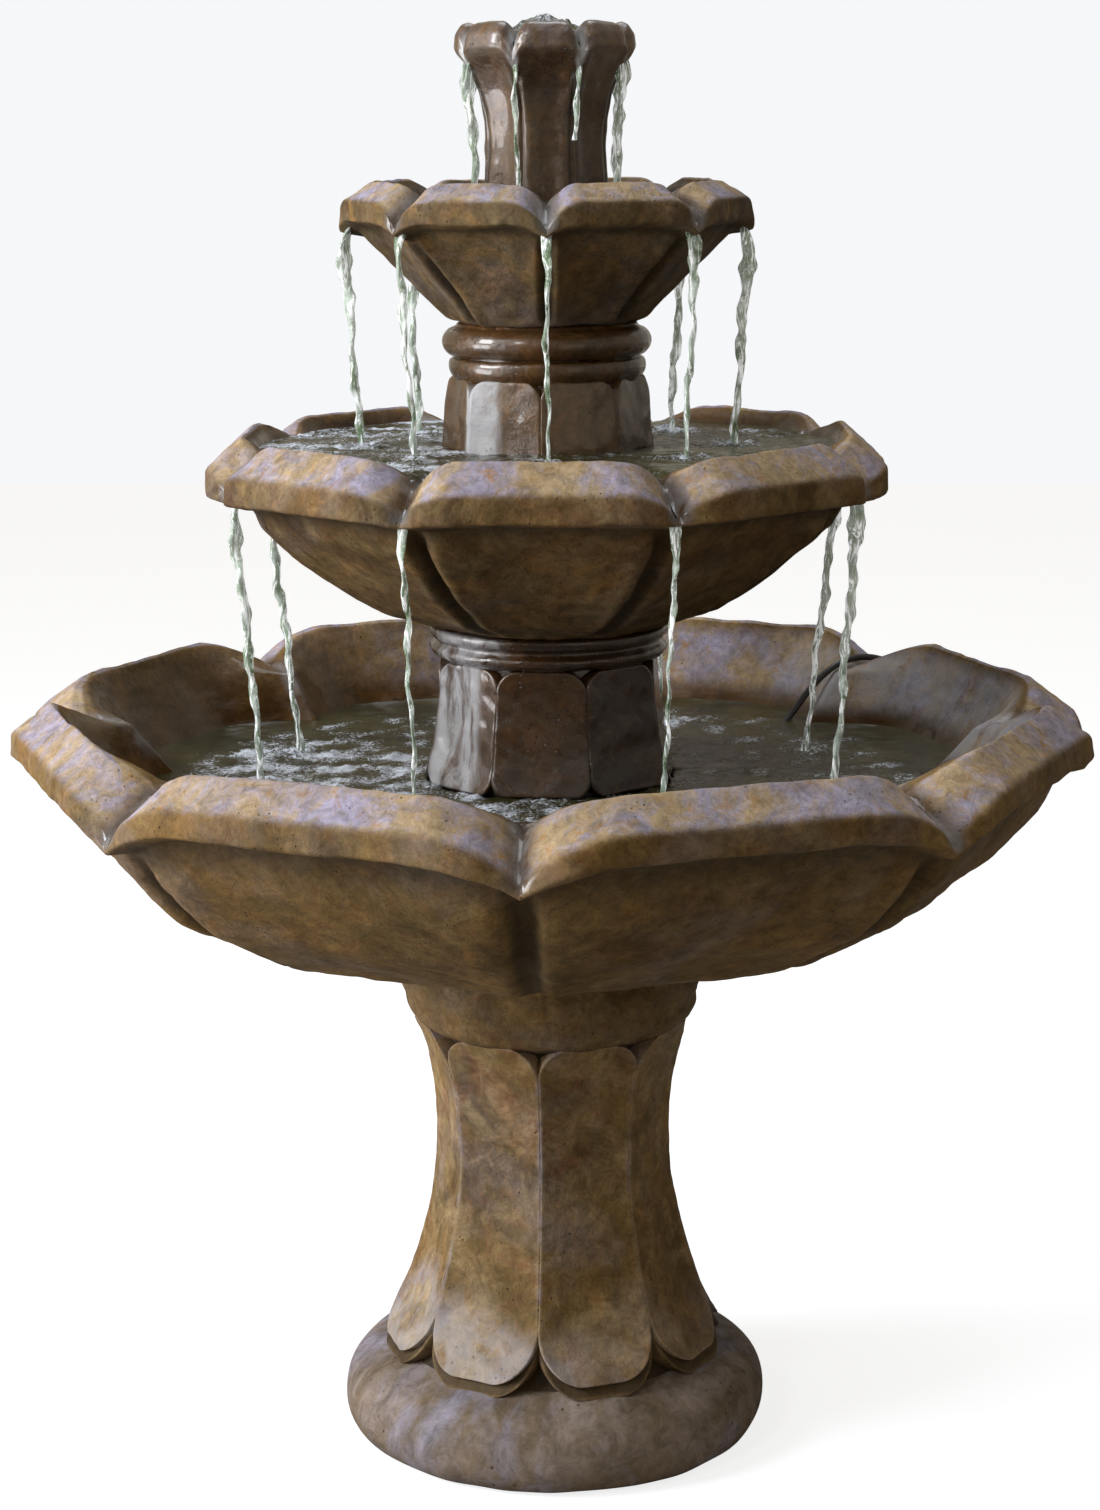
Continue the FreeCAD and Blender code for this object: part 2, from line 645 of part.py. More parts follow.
def cord_clip():
    """Screwed-on clip: a flat pad on the pedestal's panel and a hook round the lead."""
    face = 119.6
    centre = 134.0 - face
    pad = Part.makeBox(22, 2.5, 26, V(-11, 0, -13))
    hook = Part.makeBox(13, centre + 5.6, 12, V(-6.5, 0, -6))
    body = pad.fuse(hook).cut(Part.makeCylinder(CORD_D / 2 + 0.2, 40, V(0, centre, -20)))
    body.translate(V(0, face, CLIP_Z))
    return turned(body, CLIP_ANGLE - 180)


NODES = {
    "pedestal": pedestal,
    "main_bowl": main_bowl,
    "lower_riser": lower_riser,
    "middle_bowl": middle_bowl,
    "upper_riser": upper_riser,
    "upper_bowl": upper_bowl,
    "top_cup": top_cup,
    "pump_motor_housing": pump_motor_housing,
    "pump_volute_cover": pump_volute_cover,
    "volute_seal": volute_seal,
    "impeller": impeller,
    "impeller_shaft": impeller_shaft,
    "intake_strainer": intake_strainer,
    "flow_control_dial": flow_control_dial,
    "suction_feet": suction_feet,
    "cord_gland": cord_gland,
    "outlet_adaptor": outlet_adaptor,
    "riser_hose": riser_hose,
    "hose_clamp": hose_clamp,
    "hose_clamp_screw": hose_clamp_screw,
    "middle_bowl_seal": lambda: hose_seal(MIDDLE_FLOOR),
    "upper_bowl_seal": lambda: hose_seal(UPPER_FLOOR),
    "top_cup_seal": lambda: hose_seal(CUP_FLOOR + 2),
    "spout_nozzle": spout_nozzle,
    "drain_stopper": drain_stopper,
    "cord_lead": lambda: cord_tube("cord_lead", LEAD_ROUTE),
    "cord_coil": cord_coil,
    "coil_tie": coil_tie,
    "cord_tail": lambda: cord_tube("cord_tail", TAIL_ROUTE),
    "plug_body": plug_body,
    "plug_pins": plug_pins,
    "cord_clip": cord_clip,
}

os.makedirs("parts", exist_ok=True)
for node, make in NODES.items():
    shape = make()
    print(node, "solids", len(shape.Solids), "valid", shape.isValid(), "volume cm3 %.1f" % (shape.Volume / 1000))
    shape.exportStep("parts/" + node + ".step")
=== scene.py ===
import json
import bmesh
import bpy
import numpy as np
from mathutils import Matrix, Vector


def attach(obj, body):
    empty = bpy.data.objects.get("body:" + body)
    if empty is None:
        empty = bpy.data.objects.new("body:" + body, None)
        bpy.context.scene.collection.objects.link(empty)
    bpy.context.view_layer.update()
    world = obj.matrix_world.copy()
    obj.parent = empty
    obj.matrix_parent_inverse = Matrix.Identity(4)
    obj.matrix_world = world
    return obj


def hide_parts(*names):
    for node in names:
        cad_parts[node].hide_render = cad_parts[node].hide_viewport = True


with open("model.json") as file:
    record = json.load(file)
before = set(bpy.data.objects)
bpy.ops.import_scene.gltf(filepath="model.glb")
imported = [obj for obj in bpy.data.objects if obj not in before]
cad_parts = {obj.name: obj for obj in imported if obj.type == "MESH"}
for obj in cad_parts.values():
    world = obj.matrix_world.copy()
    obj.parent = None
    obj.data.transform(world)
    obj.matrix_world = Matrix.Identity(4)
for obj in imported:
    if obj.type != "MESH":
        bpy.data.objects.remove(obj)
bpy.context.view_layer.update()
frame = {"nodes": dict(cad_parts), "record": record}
nodes = frame["nodes"]
ROOT = "fountain"

# ---- Viewpoint ----
# A standing viewer about three metres in front of the fountain and a little to its right,
# looking slightly down at the middle bowl.
EYE = (0.1595, -3.181, 1.4117)


def placed(name, data):
    """A new object in the scene."""
    made = bpy.data.objects.new(name, data)
    bpy.context.scene.collection.objects.link(made)
    return made


camera = placed("viewpoint", bpy.data.cameras.new("viewpoint"))
camera.data.lens = 72.4
camera.data.clip_end = 60.0
turn_to_axis = Matrix.Rotation(np.arctan2(EYE[0], -EYE[1]), 4, "Z")
look_down = Matrix.Rotation(np.pi / 2 - 0.2047, 4, "X")
lean = Matrix.Rotation(-0.0072, 4, "Z")
camera.matrix_world = Matrix.Translation(EYE) @ turn_to_axis @ look_down @ lean
bpy.context.scene.camera = camera

# ---- Mains lead ----
# Round black PVC lead of the submerged pump: out of the riser's arch, over the back right notch of
# the main bowl, down the back of the pedestal and into a tied coil, with a moulded plug at its end.
LEAD_DIAMETER = 0.0078
COIL_CENTRE = (-0.003, 0.345)
COIL_TURNS = 4.25
TURN_POINTS = 16


def polar(radius, degrees, height):
    """Point at a radius and height, at an angle from -Y towards +X: (r sin a, -r cos a, z)."""
    a = np.radians(degrees)
    return np.stack(np.broadcast_arrays(radius * np.sin(a), -radius * np.cos(a), height), -1)


def smooth_step(x, low, high):
    """0 below low, 1 above high and the cubic 3t^2 - 2t^3 between."""
    t = np.clip((x - low) / (high - low), 0, 1)
    return t * t * (3 - 2 * t)


lead_route = np.array([
    (101, 135, 650), (134, 135, 650), (176, 135.5, 642), (222, 136.5, 641), (268, 137.5, 655),
    (312, 138, 680), (356, 138.5, 706), (398, 138.3, 735), (430, 137.2, 771), (462, 135.5, 796),
    (508, 134.9, 797), (552, 135, 781), (584, 135.2, 745), (594, 135.5, 696), (576, 136, 640),
    (534, 137, 592), (480, 139, 554), (420, 141, 525), (358, 144, 504), (296, 148, 490),
    (236, 152, 481), (186, 154.4, 462), (152, 154.6, 424), (137, 154.2, 374), (131, 154.4, 324),
    (134, 154.8, 274), (144, 155.5, 226), (160, 157, 182), (184, 159, 142), (217, 162, 107),
    (251, 165, 76), (279, 168, 40), (306, 170.4, 11),
])
run_over_bowl = polar(lead_route[:, 0] / 1000, lead_route[:, 1], lead_route[:, 2] / 1000)
turns = np.arange(2, COIL_TURNS * TURN_POINTS + 1) / TURN_POINTS
coil_radius = np.where(turns < 2.1, 0.0552 - 0.0078 * turns, 0.0388 + 0.0078 * (turns - 2.1))
coil_height = 0.0042 + 0.0084 * smooth_step(turns, 2.0, 2.4)
coil_run = np.stack([COIL_CENTRE[0] + coil_radius * np.cos(2 * np.pi * turns),
                     COIL_CENTRE[1] + coil_radius * np.sin(2 * np.pi * turns), coil_height], -1)
run_to_plug = np.array([(-0.032, 0.401, 0.0118), (-0.058, 0.404, 0.0118), (-0.086, 0.400, 0.0122)])
arrival = np.array([(0.0535, 0.330, 0.0044), (0.0520, 0.348, 0.0042)])
lead_points = np.concatenate([run_over_bowl, arrival, coil_run, run_to_plug])
lead_curve = bpy.data.curves.new("mains_lead", "CURVE")
lead_curve.dimensions = "3D"
lead_curve.bevel_depth = LEAD_DIAMETER / 2
lead_curve.bevel_resolution = 4
lead_curve.use_fill_caps = True
lead_curve.resolution_u = 6
spline = lead_curve.splines.new("NURBS")
spline.points.add(len(lead_points) - 1)
spline.points.foreach_set("co", np.c_[lead_points, np.ones(len(lead_points))].ravel())
spline.order_u = 3
spline.use_endpoint_u = True
mains_lead = placed("mains_lead", lead_curve)


def add_node(tree, kind, inputs=None, **settings):
    """One shader node: settings are its properties, inputs its values or the sockets it is fed from."""
    made = tree.nodes.new(kind)
    for key, value in settings.items():
        setattr(made, key, value)
    for key, value in (inputs or {}).items():
        if isinstance(value, bpy.types.NodeSocket):
            tree.links.new(value, made.inputs[key])
        else:
            made.inputs[key].default_value = value
    return made


def fed_node(kind, inputs, **settings):
    """A node in the tree of the sockets that it is fed from."""
    tree = next(value.id_data for value in inputs.values() if isinstance(value, bpy.types.NodeSocket))
    return add_node(tree, kind, inputs, **settings)


def noise(where, scale, detail=4.0, roughness=0.55, distortion=0.0):
    """Cloudy value from 0 to 1; scale is patches per metre."""
    values = {"Vector": where, "Scale": scale, "Detail": detail, "Roughness": roughness,
              "Distortion": distortion}
    return fed_node("ShaderNodeTexNoise", values).outputs["Fac"]


def remap(value, low, high, to_low=0.0, to_high=1.0):
    """The range low..high stretched to to_low..to_high and clamped."""
    values = {"Value": value, "From Min": low, "From Max": high, "To Min": to_low, "To Max": to_high}
    return fed_node("ShaderNodeMapRange", values).outputs["Result"]


def mix_tones(factor, a, b, way="MIX"):
    """Colour a mixed or multiplied with colour b by the factor."""
    inputs = {0: factor, 6: a, 7: b}
    return fed_node("ShaderNodeMix", inputs, data_type="RGBA", blend_type=way).outputs[2]


def feed(shader, **sources):
    """Links sockets to the shader's inputs, whose names are given with _ for a space."""
    for title, source in sources.items():
        shader.id_data.links.new(source, shader.inputs[title.replace("_", " ")])


def emboss(shader, height, strength, distance):
    """Relief from a height field, at a depth in metres."""
    values = {"Height": height, "Strength": strength, "Distance": distance}
    feed(shader, Normal=fed_node("ShaderNodeBump", values).outputs["Normal"])


def new_material(name):
    """Empty material with its surface shader and object coordinates: (material, shader, where)."""
    made = bpy.data.materials.new(name)
    made.use_nodes = True
    tree = made.node_tree
    where = add_node(tree, "ShaderNodeTexCoord").outputs["Object"]
    return made, tree.nodes["Principled BSDF"], where


def moulded(name, tone, second_tone, roughness, grain, bump, metallic=0.0, coat=0.0):
    """Moulded plastic, rubber or metal: faint cloudy tone, uneven roughness and a fine grain."""
    made, shader, where = new_material(name)
    cloud = noise(where, grain / 6, 3.0)
    fine = noise(where, grain, 2.0)
    feed(shader,
         Base_Color=mix_tones(remap(cloud, 0.35, 0.65), (*tone, 1), (*second_tone, 1)),
         Roughness=remap(fine, 0.3, 0.7, roughness - 0.06, roughness + 0.08))
    emboss(shader, fine, bump, 0.0004)
    shader.inputs["Metallic"].default_value = metallic
    shader.inputs["Coat Weight"].default_value = coat
    return made


def dress(node, material):
    """Gives a carried-over part its material."""
    node.data.materials.clear()
    node.data.materials.append(material)


lead_jacket = moulded("lead_jacket", (0.012, 0.012, 0.013), (0.022, 0.021, 0.02), 0.38, 900.0, 0.15)
lead_curve.materials.append(lead_jacket)
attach(mains_lead, ROOT)
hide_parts("cord_lead", "cord_coil", "cord_tail")

# ---- Cast stone finish ----
# The castings are wet-poured stone, stained by hand: a sandy body under olive, ochre and violet-grey
# washes, lighter on worn rims and painted highlights, almost black where shade is painted in hollows, pale
# where reflections are painted, and glossy where water runs.
weathering = bpy.data.node_groups.new("weathered_stone", "ShaderNodeTree")
for side, kind, titles in (("INPUT", "NodeSocketVector", ("Where",)),
                           ("INPUT", "NodeSocketColor", ("Body", "Shade", "Highlight")),
                           ("INPUT", "NodeSocketFloat", ("Ochre", "Violet", "Rust", "Patch size")),
                           ("OUTPUT", "NodeSocketColor", ("Colour",)),
                           ("OUTPUT", "NodeSocketFloat", ("Roughness", "Height", "Wetness"))):
    for title in titles:
        weathering.interface.new_socket(title, in_out=side, socket_type=kind)
OCHRE_WASH = (0.30, 0.155, 0.045, 1)
VIOLET_WASH = (0.215, 0.215, 0.285, 1)
RUST_WASH = (0.13, 0.052, 0.022, 1)
OLIVE_WASH = (0.12, 0.115, 0.035, 1)
RIM_SAND = (0.31, 0.23, 0.136, 1)
RIM_LILAC = (0.26, 0.243, 0.318, 1)
SHADE_AND_PIT_TONE = (0.018, 0.013, 0.007, 1)
SOAKED = (0.42, 0.32, 0.215, 1)
FILM_AND_REFLECTION_TONE = (0.30, 0.30, 0.31, 1)
WATER_IOR = 1.33


def arithmetic(operation, a, b):
    """One sum, product or other step on two values."""
    return fed_node("ShaderNodeMath", {0: a, 1: b}, operation=operation).outputs[0]


def times(a, b):
    """The product of two values."""
    return arithmetic("MULTIPLY", a, b)


def attribute(tree, name):
    """The value of a mesh's mask at each point."""
    return add_node(tree, "ShaderNodeAttribute", attribute_name=name).outputs["Fac"]


def moved(where, offset):
    """The same coordinates from another place, for a noise field of its own."""
    return fed_node("ShaderNodeVectorMath", {0: where, 1: offset}, operation="ADD").outputs[0]


def stretched(where, scale):
    """Coordinates scaled by a different amount along each axis."""
    return fed_node("ShaderNodeMapping", {"Vector": where, "Scale": scale}).outputs[0]


def build_weathering(tree):
    """Layers of cloudy washes, each a noise field turned into a soft-edged mask, over the body tone."""
    given = tree.nodes.new("NodeGroupInput").outputs
    scaling = {0: given["Where"], "Scale": given["Patch size"]}
    where = fed_node("ShaderNodeVectorMath", scaling, operation="SCALE").outputs[0]
    second = moved(where, (3.1, 1.7, 5.3))
    third = moved(where, (-2.3, 7.9, 1.1))
    broad = noise(where, 4.0, 3.0, 0.6, 0.5)
    cloud = noise(where, 15.0, 7.0, 0.68, 0.8)
    flecks = noise(second, 42.0, 8.0, 0.75, 0.4)
    fine = noise(where, 130.0, 6.0, 0.7)
    tone = mix_tones(remap(broad, 0.36, 0.62), given["Shade"], given["Body"])
    tone = mix_tones(remap(cloud, 0.45, 0.72, 0.0, 0.75), tone, given["Highlight"])
    for title, field, low, high, wash in (
            ("Ochre", noise(second, 11.0, 7.0, 0.7, 1.2), 0.52, 0.66, OCHRE_WASH),
            ("Violet", noise(third, 7.0, 6.0, 0.66, 0.9), 0.47, 0.66, VIOLET_WASH),
            ("Rust", noise(third, 17.0, 8.0, 0.74, 1.4), 0.53, 0.68, RUST_WASH)):
        tone = mix_tones(times(remap(field, low, high), given[title]), tone, wash)

    # Worn rims and painted highlights on edges and lit faces: sand and lilac with ochre spots.  Olive growth
    # follows the ochre.
    rim_field = remap(noise(second, 13.0, 8.0, 0.75, 0.8), 0.44, 0.58)
    rim_tone = mix_tones(rim_field, RIM_SAND, RIM_LILAC)
    rim_tone = mix_tones(remap(flecks, 0.56, 0.66, 0.0, 0.8), rim_tone, OCHRE_WASH)
    wear_and_highlight = times(attribute(tree, "rim"), remap(cloud, 0.25, 0.55, 0.55, 1.0))
    tone = mix_tones(wear_and_highlight, tone, rim_tone)
    olive = remap(noise(second, 24.0, 8.0, 0.78, 1.0), 0.50, 0.64, 0.0, 0.5)
    tone = mix_tones(times(olive, given["Ochre"]), tone, OLIVE_WASH)

    # Sandy grain in the tone, dark pits and painted shade
    grain = noise(third, 58.0, 9.0, 0.82, 0.6)
    channels = enumerate(((0.52, 1.42), (0.50, 1.42), (0.46, 1.46)))
    speckle = {i: remap(grain, 0.34, 0.68, dark, light) for i, (dark, light) in channels}
    speckled = fed_node("ShaderNodeCombineColor", speckle).outputs[0]
    tone = mix_tones(1.0, tone, speckled, "MULTIPLY")
    pits = fed_node("ShaderNodeTexVoronoi", {"Vector": second, "Scale": 130.0}).outputs["Distance"]
    pit_places = remap(noise(second, 22.0, 3.0), 0.56, 0.62)
    pit = times(remap(pits, 0.10, 0.20, 1.0, 0.0), pit_places)
    # Painted shade: near black where the mask is high, standing in for shade in recesses, undercuts and under
    # the bowls; pits are darkened with the same tone.
    shade_amount = times(attribute(tree, "painted_shade"), remap(cloud, 0.3, 0.6, 0.75, 1.0))
    tone = mix_tones(shade_amount, tone, SHADE_AND_PIT_TONE)
    tone = mix_tones(times(pit, 0.7), tone, SHADE_AND_PIT_TONE)

    # Wet stone is darker, warmer and glossy; pale streaky films are painted reflections on wet faces and
    # water sheets, and a pale film low on the pedestal
    damp = times(attribute(tree, "wet"), remap(cloud, 0.3, 0.5, 0.82, 1.0))
    tone = mix_tones(1.0, tone, mix_tones(damp, (1, 1, 1, 1), SOAKED), "MULTIPLY")
    streaks = noise(stretched(given["Where"], (26.0, 26.0, 8.0)), 1.0, 6.0, 0.65, 1.0)
    film_and_reflection_amount = times(attribute(tree, "film_and_reflection"), remap(streaks, 0.36, 0.52))
    tone = mix_tones(film_and_reflection_amount, tone, FILM_AND_REFLECTION_TONE)
    gloss = {0: damp, 2: remap(fine, 0.3, 0.7, 0.62, 0.86), 3: remap(fine, 0.35, 0.65, 0.06, 0.2)}
    rough = fed_node("ShaderNodeMix", gloss).outputs[0]
    height = arithmetic("ADD", times(fine, 0.35), times(flecks, 0.65))
    height = arithmetic("ADD", height, times(cloud, 0.9))
    height = arithmetic("SUBTRACT", height, times(pit, 0.8))
    feed(tree.nodes.new("NodeGroupOutput"), Colour=tone, Roughness=rough, Height=height, Wetness=damp)


build_weathering(weathering)


def stone(name, body, shade, highlight, ochre=0.4, violet=0.3, rust=0.3, patch=1.0, relief=0.55, sheen=0.16):
    """Cast stone with the weathered washes in this casting's own tones and amounts."""
    made, shader, where = new_material(name)
    washes = add_node(shader.id_data, "ShaderNodeGroup", node_tree=weathering)
    feed(washes, Where=where)
    for title, value in (("Body", (*body, 1)), ("Shade", (*shade, 1)), ("Highlight", (*highlight, 1)),
                         ("Ochre", ochre), ("Violet", violet), ("Rust", rust), ("Patch size", patch)):
        washes.inputs[title].default_value = value
    feed(shader, Base_Color=washes.outputs["Colour"], Roughness=washes.outputs["Roughness"],
         Coat_Weight=washes.outputs["Wetness"])
    shader.inputs["Coat Roughness"].default_value = 0.09
    shader.inputs["Coat IOR"].default_value = WATER_IOR
    shader.inputs["Specular IOR Level"].default_value = sheen
    emboss(shader, washes.outputs["Height"], relief, 0.0035)
    return made


# ---- Pedestal ----
# One hollow casting of stone: a rolled round base, a waisted shaft under eight tall panels with
# round ends, each on a second layer painted dark as shade, and a thick rolled collar that the bowl sits on.
PETALS = 8
HALF = 22.5
PEDESTAL_TURN = 19.4


def waves(points, size, seed):
    """Unevenness of hand-cast stone: sixteen sine waves in random directions, wavelengths near size."""
    rng = np.random.default_rng(seed)
    direction = rng.normal(size=(16, 3))
    direction /= np.linalg.norm(direction, axis=1, keepdims=True)
    number = 2 * np.pi / (size * rng.uniform(0.6, 1.5, 16))
    phase = rng.uniform(0, 2 * np.pi, 16)
    return np.sin(points @ (direction * number[:, None]).T + phase).sum(-1) / 4


def unevenness(grid, amounts, seed):
    """Waves of several sizes together: pairs of wavelength and height."""
    return sum(height * waves(grid, size, seed + i) for i, (size, height) in enumerate(amounts))


def normals_of(grid):
    """Unit normals of a closed grid: the cross product of its two central differences."""
    along = np.roll(grid, -1, 0) - np.roll(grid, 1, 0)
    round_it = np.roll(grid, -1, 1) - np.roll(grid, 1, 1)
    normal = np.cross(along, round_it)
    return normal / np.maximum(np.linalg.norm(normal, axis=-1, keepdims=True), 1e-12)


def closed_surface(name, grid, material, masks=None):
    """Piece from a grid of points that closes on itself both ways, with masks as point attributes."""
    rows, columns = grid.shape[:2]
    number = np.arange(rows * columns).reshape(rows, columns)
    ahead = np.roll(number, -1, 0)
    quads = np.stack([number, ahead, np.roll(ahead, -1, 1), np.roll(number, -1, 1)], -1).reshape(-1, 4)
    mesh = bpy.data.meshes.new(name)
    mesh.from_pydata(grid.reshape(-1, 3), [], quads)
    for title, values in (masks or {}).items():
        layer = mesh.attributes.new(title, "FLOAT", "POINT")
        layer.data.foreach_set("value", np.broadcast_to(values, (rows, columns)).ravel().astype(np.float32))
    work = bmesh.new()
    work.from_mesh(mesh)
    bmesh.ops.remove_doubles(work, verts=work.verts, dist=2e-5)
    stray = [edge for edge in work.edges if not edge.link_faces]
    bmesh.ops.delete(work, geom=stray, context="EDGES")
    work.to_mesh(mesh)
    work.free()
    mesh.polygons.foreach_set("use_smooth", np.ones(len(mesh.polygons), bool))
    mesh.materials.append(material)
    piece = placed(name, mesh)
    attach(piece, ROOT)
    return piece


def smoothed(rows, rounds):
    """Repeated averaging of each row with its two neighbours: (before + 2 own + after) / 4."""
    for _ in range(rounds):
        rows = (np.roll(rows, 1, 0) + 2 * rows + np.roll(rows, -1, 0)) / 4
    return rows


def refine(rows, step, rounding):
    """Closed outline filled in with points at most a step apart, one step for all or one for each row,
    its corners rounded by averaging."""
    ends = np.roll(rows, -1, 0)
    reach = np.abs(ends - rows)[..., :2]
    length = np.hypot(reach[..., 0], reach[..., 1]).reshape(len(rows), -1).max(1)
    pieces = []
    for start, end, distance, apart in zip(rows, ends, length, np.broadcast_to(step, len(rows))):
        count = max(1, int(np.ceil(distance / apart)))
        share = (np.arange(count) / count).reshape(-1, *[1] * start.ndim)
        pieces.append(start * (1 - share) + end * share)
    return smoothed(np.concatenate(pieces), rounding)


def turned_piece(outline, columns=256, step=5.0, rounding=4):
    """Turned shape: a closed (radius, height) outline in millimetres carried round the axis."""
    filled = refine(np.array(outline, float), step, rounding)
    filled[:, 0] = np.maximum(filled[:, 0], 0)
    angle = np.arange(columns) * 360 / columns
    return polar(filled[:, None, 0] / 1000, angle[None, :], filled[:, None, 1] / 1000)


def roughen(grid, amounts, seed):
    """Moves a grid along its normals by its unevenness."""
    return grid + normals_of(grid) * unevenness(grid, amounts, seed)[..., None]


HAND_CAST = ((0.12, 0.0010), (0.045, 0.0006), (0.018, 0.0003))


def panel_set(profile, z0, z1, corner0, corner1, turn, edge, back, seed, columns=33, rows=88):
    """Eight panels round a shaft.  Each is a height field over a tall outline with quarter-round
    corners: flat across, its radius follows the profile, and its edges fall away as a quarter circle.
    Every row closes round a flat back, and the end rows fold on to it.  Also returns how near each point
    is to the face's edge."""
    heights = np.array(profile, float)
    share = (1 - np.cos(np.linspace(0, np.pi, rows))) / 2
    z = z0 + (z1 - z0) * share
    r = np.interp(z, heights[:, 1], heights[:, 0])
    for _ in range(3):
        r[1:-1] = (r[:-2] + 2 * r[1:-1] + r[2:]) / 4
    half = r * np.tan(np.radians(HALF))
    low = np.clip(1 - (z - z0) / corner0, 0, 1)
    high = np.clip(1 - (z1 - z) / corner1, 0, 1)
    half = half - corner0 * (1 - np.sqrt(1 - low ** 2)) - corner1 * (1 - np.sqrt(1 - high ** 2)) - 0.1
    across = np.sin(np.linspace(-np.pi / 2, np.pi / 2, columns))
    x = across[None, :] * half[:, None]
    inside = np.minimum(half[:, None] - np.abs(x), np.minimum(z - z0, z1 - z)[:, None])
    fall = edge - np.sqrt(edge ** 2 - np.clip(edge - inside, 0, edge) ** 2)
    face = np.stack([x, -(r[:, None] - fall), np.broadcast_to(z[:, None], x.shape)], -1)
    rear = face.copy()
    rear[..., 1] = -back
    loop = np.concatenate([face[:, ::-1], rear], 1)
    folded = np.concatenate([rear[:, ::-1], rear], 1)
    loop = np.concatenate([folded[:1], loop, folded[-1:]]) / 1000
    angle = np.radians(turn + 45 * np.arange(PETALS))
    on_face = np.concatenate([np.ones(columns), np.zeros(columns)])
    depth_in = np.concatenate([inside[:, ::-1], inside * 0 + 99], 1)
    depth_in = np.concatenate([depth_in[:1], depth_in, depth_in[-1:]])
    panels = []
    for a in angle:
        one = np.stack([loop[..., 0] * np.cos(a) - loop[..., 1] * np.sin(a),
                        loop[..., 0] * np.sin(a) + loop[..., 1] * np.cos(a), loop[..., 2]], -1)
        outward = np.array([np.sin(a), -np.cos(a), 0.0])
        panels.append(one + outward * (unevenness(one, HAND_CAST, seed) * on_face)[..., None])
    return panels, 1 - smooth_step(depth_in, 1.0, 5.0)


def joined(name, grids, material, masks_of):
    """Several closed surfaces as one piece."""
    parts = [closed_surface(name + "_" + str(i), grid, material, masks_of(grid))
             for i, grid in enumerate(grids)]
    work = bmesh.new()
    for part in parts:
        work.from_mesh(part.data)
    mesh = parts[0].data
    work.to_mesh(mesh)
    work.free()
    for part in parts[1:]:
        bpy.data.objects.remove(part, do_unlink=True)
    parts[0].name = name
    mesh.name = name
    mesh.polygons.foreach_set("use_smooth", np.ones(len(mesh.polygons), bool))
    return parts[0]


def masks(painted_shade=0.0, wet=0.0, film_and_reflection=0.0, rim=0.0):
    """The four masks of a casting (painted shade, wetness, pale film with painted reflection, and worn rim
    with painted highlight), each one value or a value for every point.
    """
    return {"rim": rim, "painted_shade": painted_shade, "wet": wet, "film_and_reflection": film_and_reflection}


def facing(grid, degrees, width):
    """1 where the surface looks towards an angle from -Y, falling to 0 over a width in degrees."""
    a = np.degrees(np.arctan2(grid[..., 0], -grid[..., 1]))
    gap = np.abs((a - degrees + 180) % 360 - 180)
    return 1 - smooth_step(gap, width * 0.7, width)


pedestal_stone = stone("pedestal_stone", (0.175, 0.108, 0.038), (0.075, 0.046, 0.015), (0.30, 0.215, 0.11),
                       ochre=0.3, violet=0.18, rust=0.7)
base_stone = stone("base_stone", (0.155, 0.118, 0.084), (0.08, 0.058, 0.035), (0.24, 0.205, 0.195),
                   ochre=0.08, violet=1.0, rust=0.05, patch=0.6, relief=0.2)
base_outline = [(0, 98), (172, 98), (182, 92), (200, 86), (222, 70), (231, 52), (234, 36), (231, 18),
                (222, 4), (214, 0), (146, 0), (135, 60), (100, 90), (0, 90)]
base = roughen(turned_piece(base_outline, 288, 6.0, 6), ((0.2, 0.0012), (0.07, 0.0005)), 11)
base[..., 2] = np.maximum(base[..., 2], 0)
closed_surface("pedestal_base", base, base_stone, masks())
shaft_outline = [(60, 469), (138, 469), (124, 440), (114, 400), (111, 330), (117, 240), (132, 170),
                 (156, 118), (174, 90), (60, 90)]
shaft = roughen(turned_piece(shaft_outline, 192, 8.0, 2), ((0.05, 0.0006),), 12)
# The shaft between and behind the panels is painted near black as shade.
closed_surface("pedestal_shaft", shaft, pedestal_stone, masks(painted_shade=0.97))
face_profile = [(188, 98), (176, 117), (165, 134), (156, 150), (147, 173), (139, 200), (130, 238), (124, 270),
                (120, 305), (119, 340), (120, 370), (123, 400), (128, 422), (134, 440), (146, 466)]
foot_profile = [(186, 90), (168, 117), (147, 150), (128, 192)]


def low_bloom_and_highlight(grid):
    """Pale bloom on the lowest 100 mm of the panels with an uneven upper edge: partly a pale film, partly
    painted highlight, strongest on the lit left side.
    """
    edge = 0.03 * waves(grid, 0.12, 5)
    return smooth_step(-grid[..., 2] + edge, -0.20, -0.13) * (0.25 + 0.75 * facing(grid, -60, 80))


faces, edge = panel_set(face_profile, 105, 466, 60, 38, PEDESTAL_TURN, 2.2, 80, 21)
# Panel edges take the pale rim tone as wear and painted highlight; the low bloom adds more of it and a pale
# film.
pedestal_panels = joined(
    "pedestal_panels", faces, pedestal_stone,
    lambda grid: masks(rim=np.maximum(0.35 * edge, 0.45 * low_bloom_and_highlight(grid)), film_and_reflection=0.42 * low_bloom_and_highlight(grid)))
faces, edge = panel_set(foot_profile, 91, 180, 60, 10, PEDESTAL_TURN, 2.0, 100, 31, 25, 40)
# The under-layer is painted dark as shade, less so near its edges, with a faint pale edge.
joined("pedestal_foot", faces, pedestal_stone,
       lambda grid: masks(rim=0.1 * edge, painted_shade=0.8 * (1 - 0.5 * edge)))
collar_outline = [(60, 540), (155, 540), (154, 528), (158, 523), (162, 511), (162, 502), (157, 495),
                  (158, 488), (156, 477), (150, 467), (132, 457), (60, 455)]
collar = roughen(turned_piece(collar_outline, 256, 4.0, 3), HAND_CAST, 13)
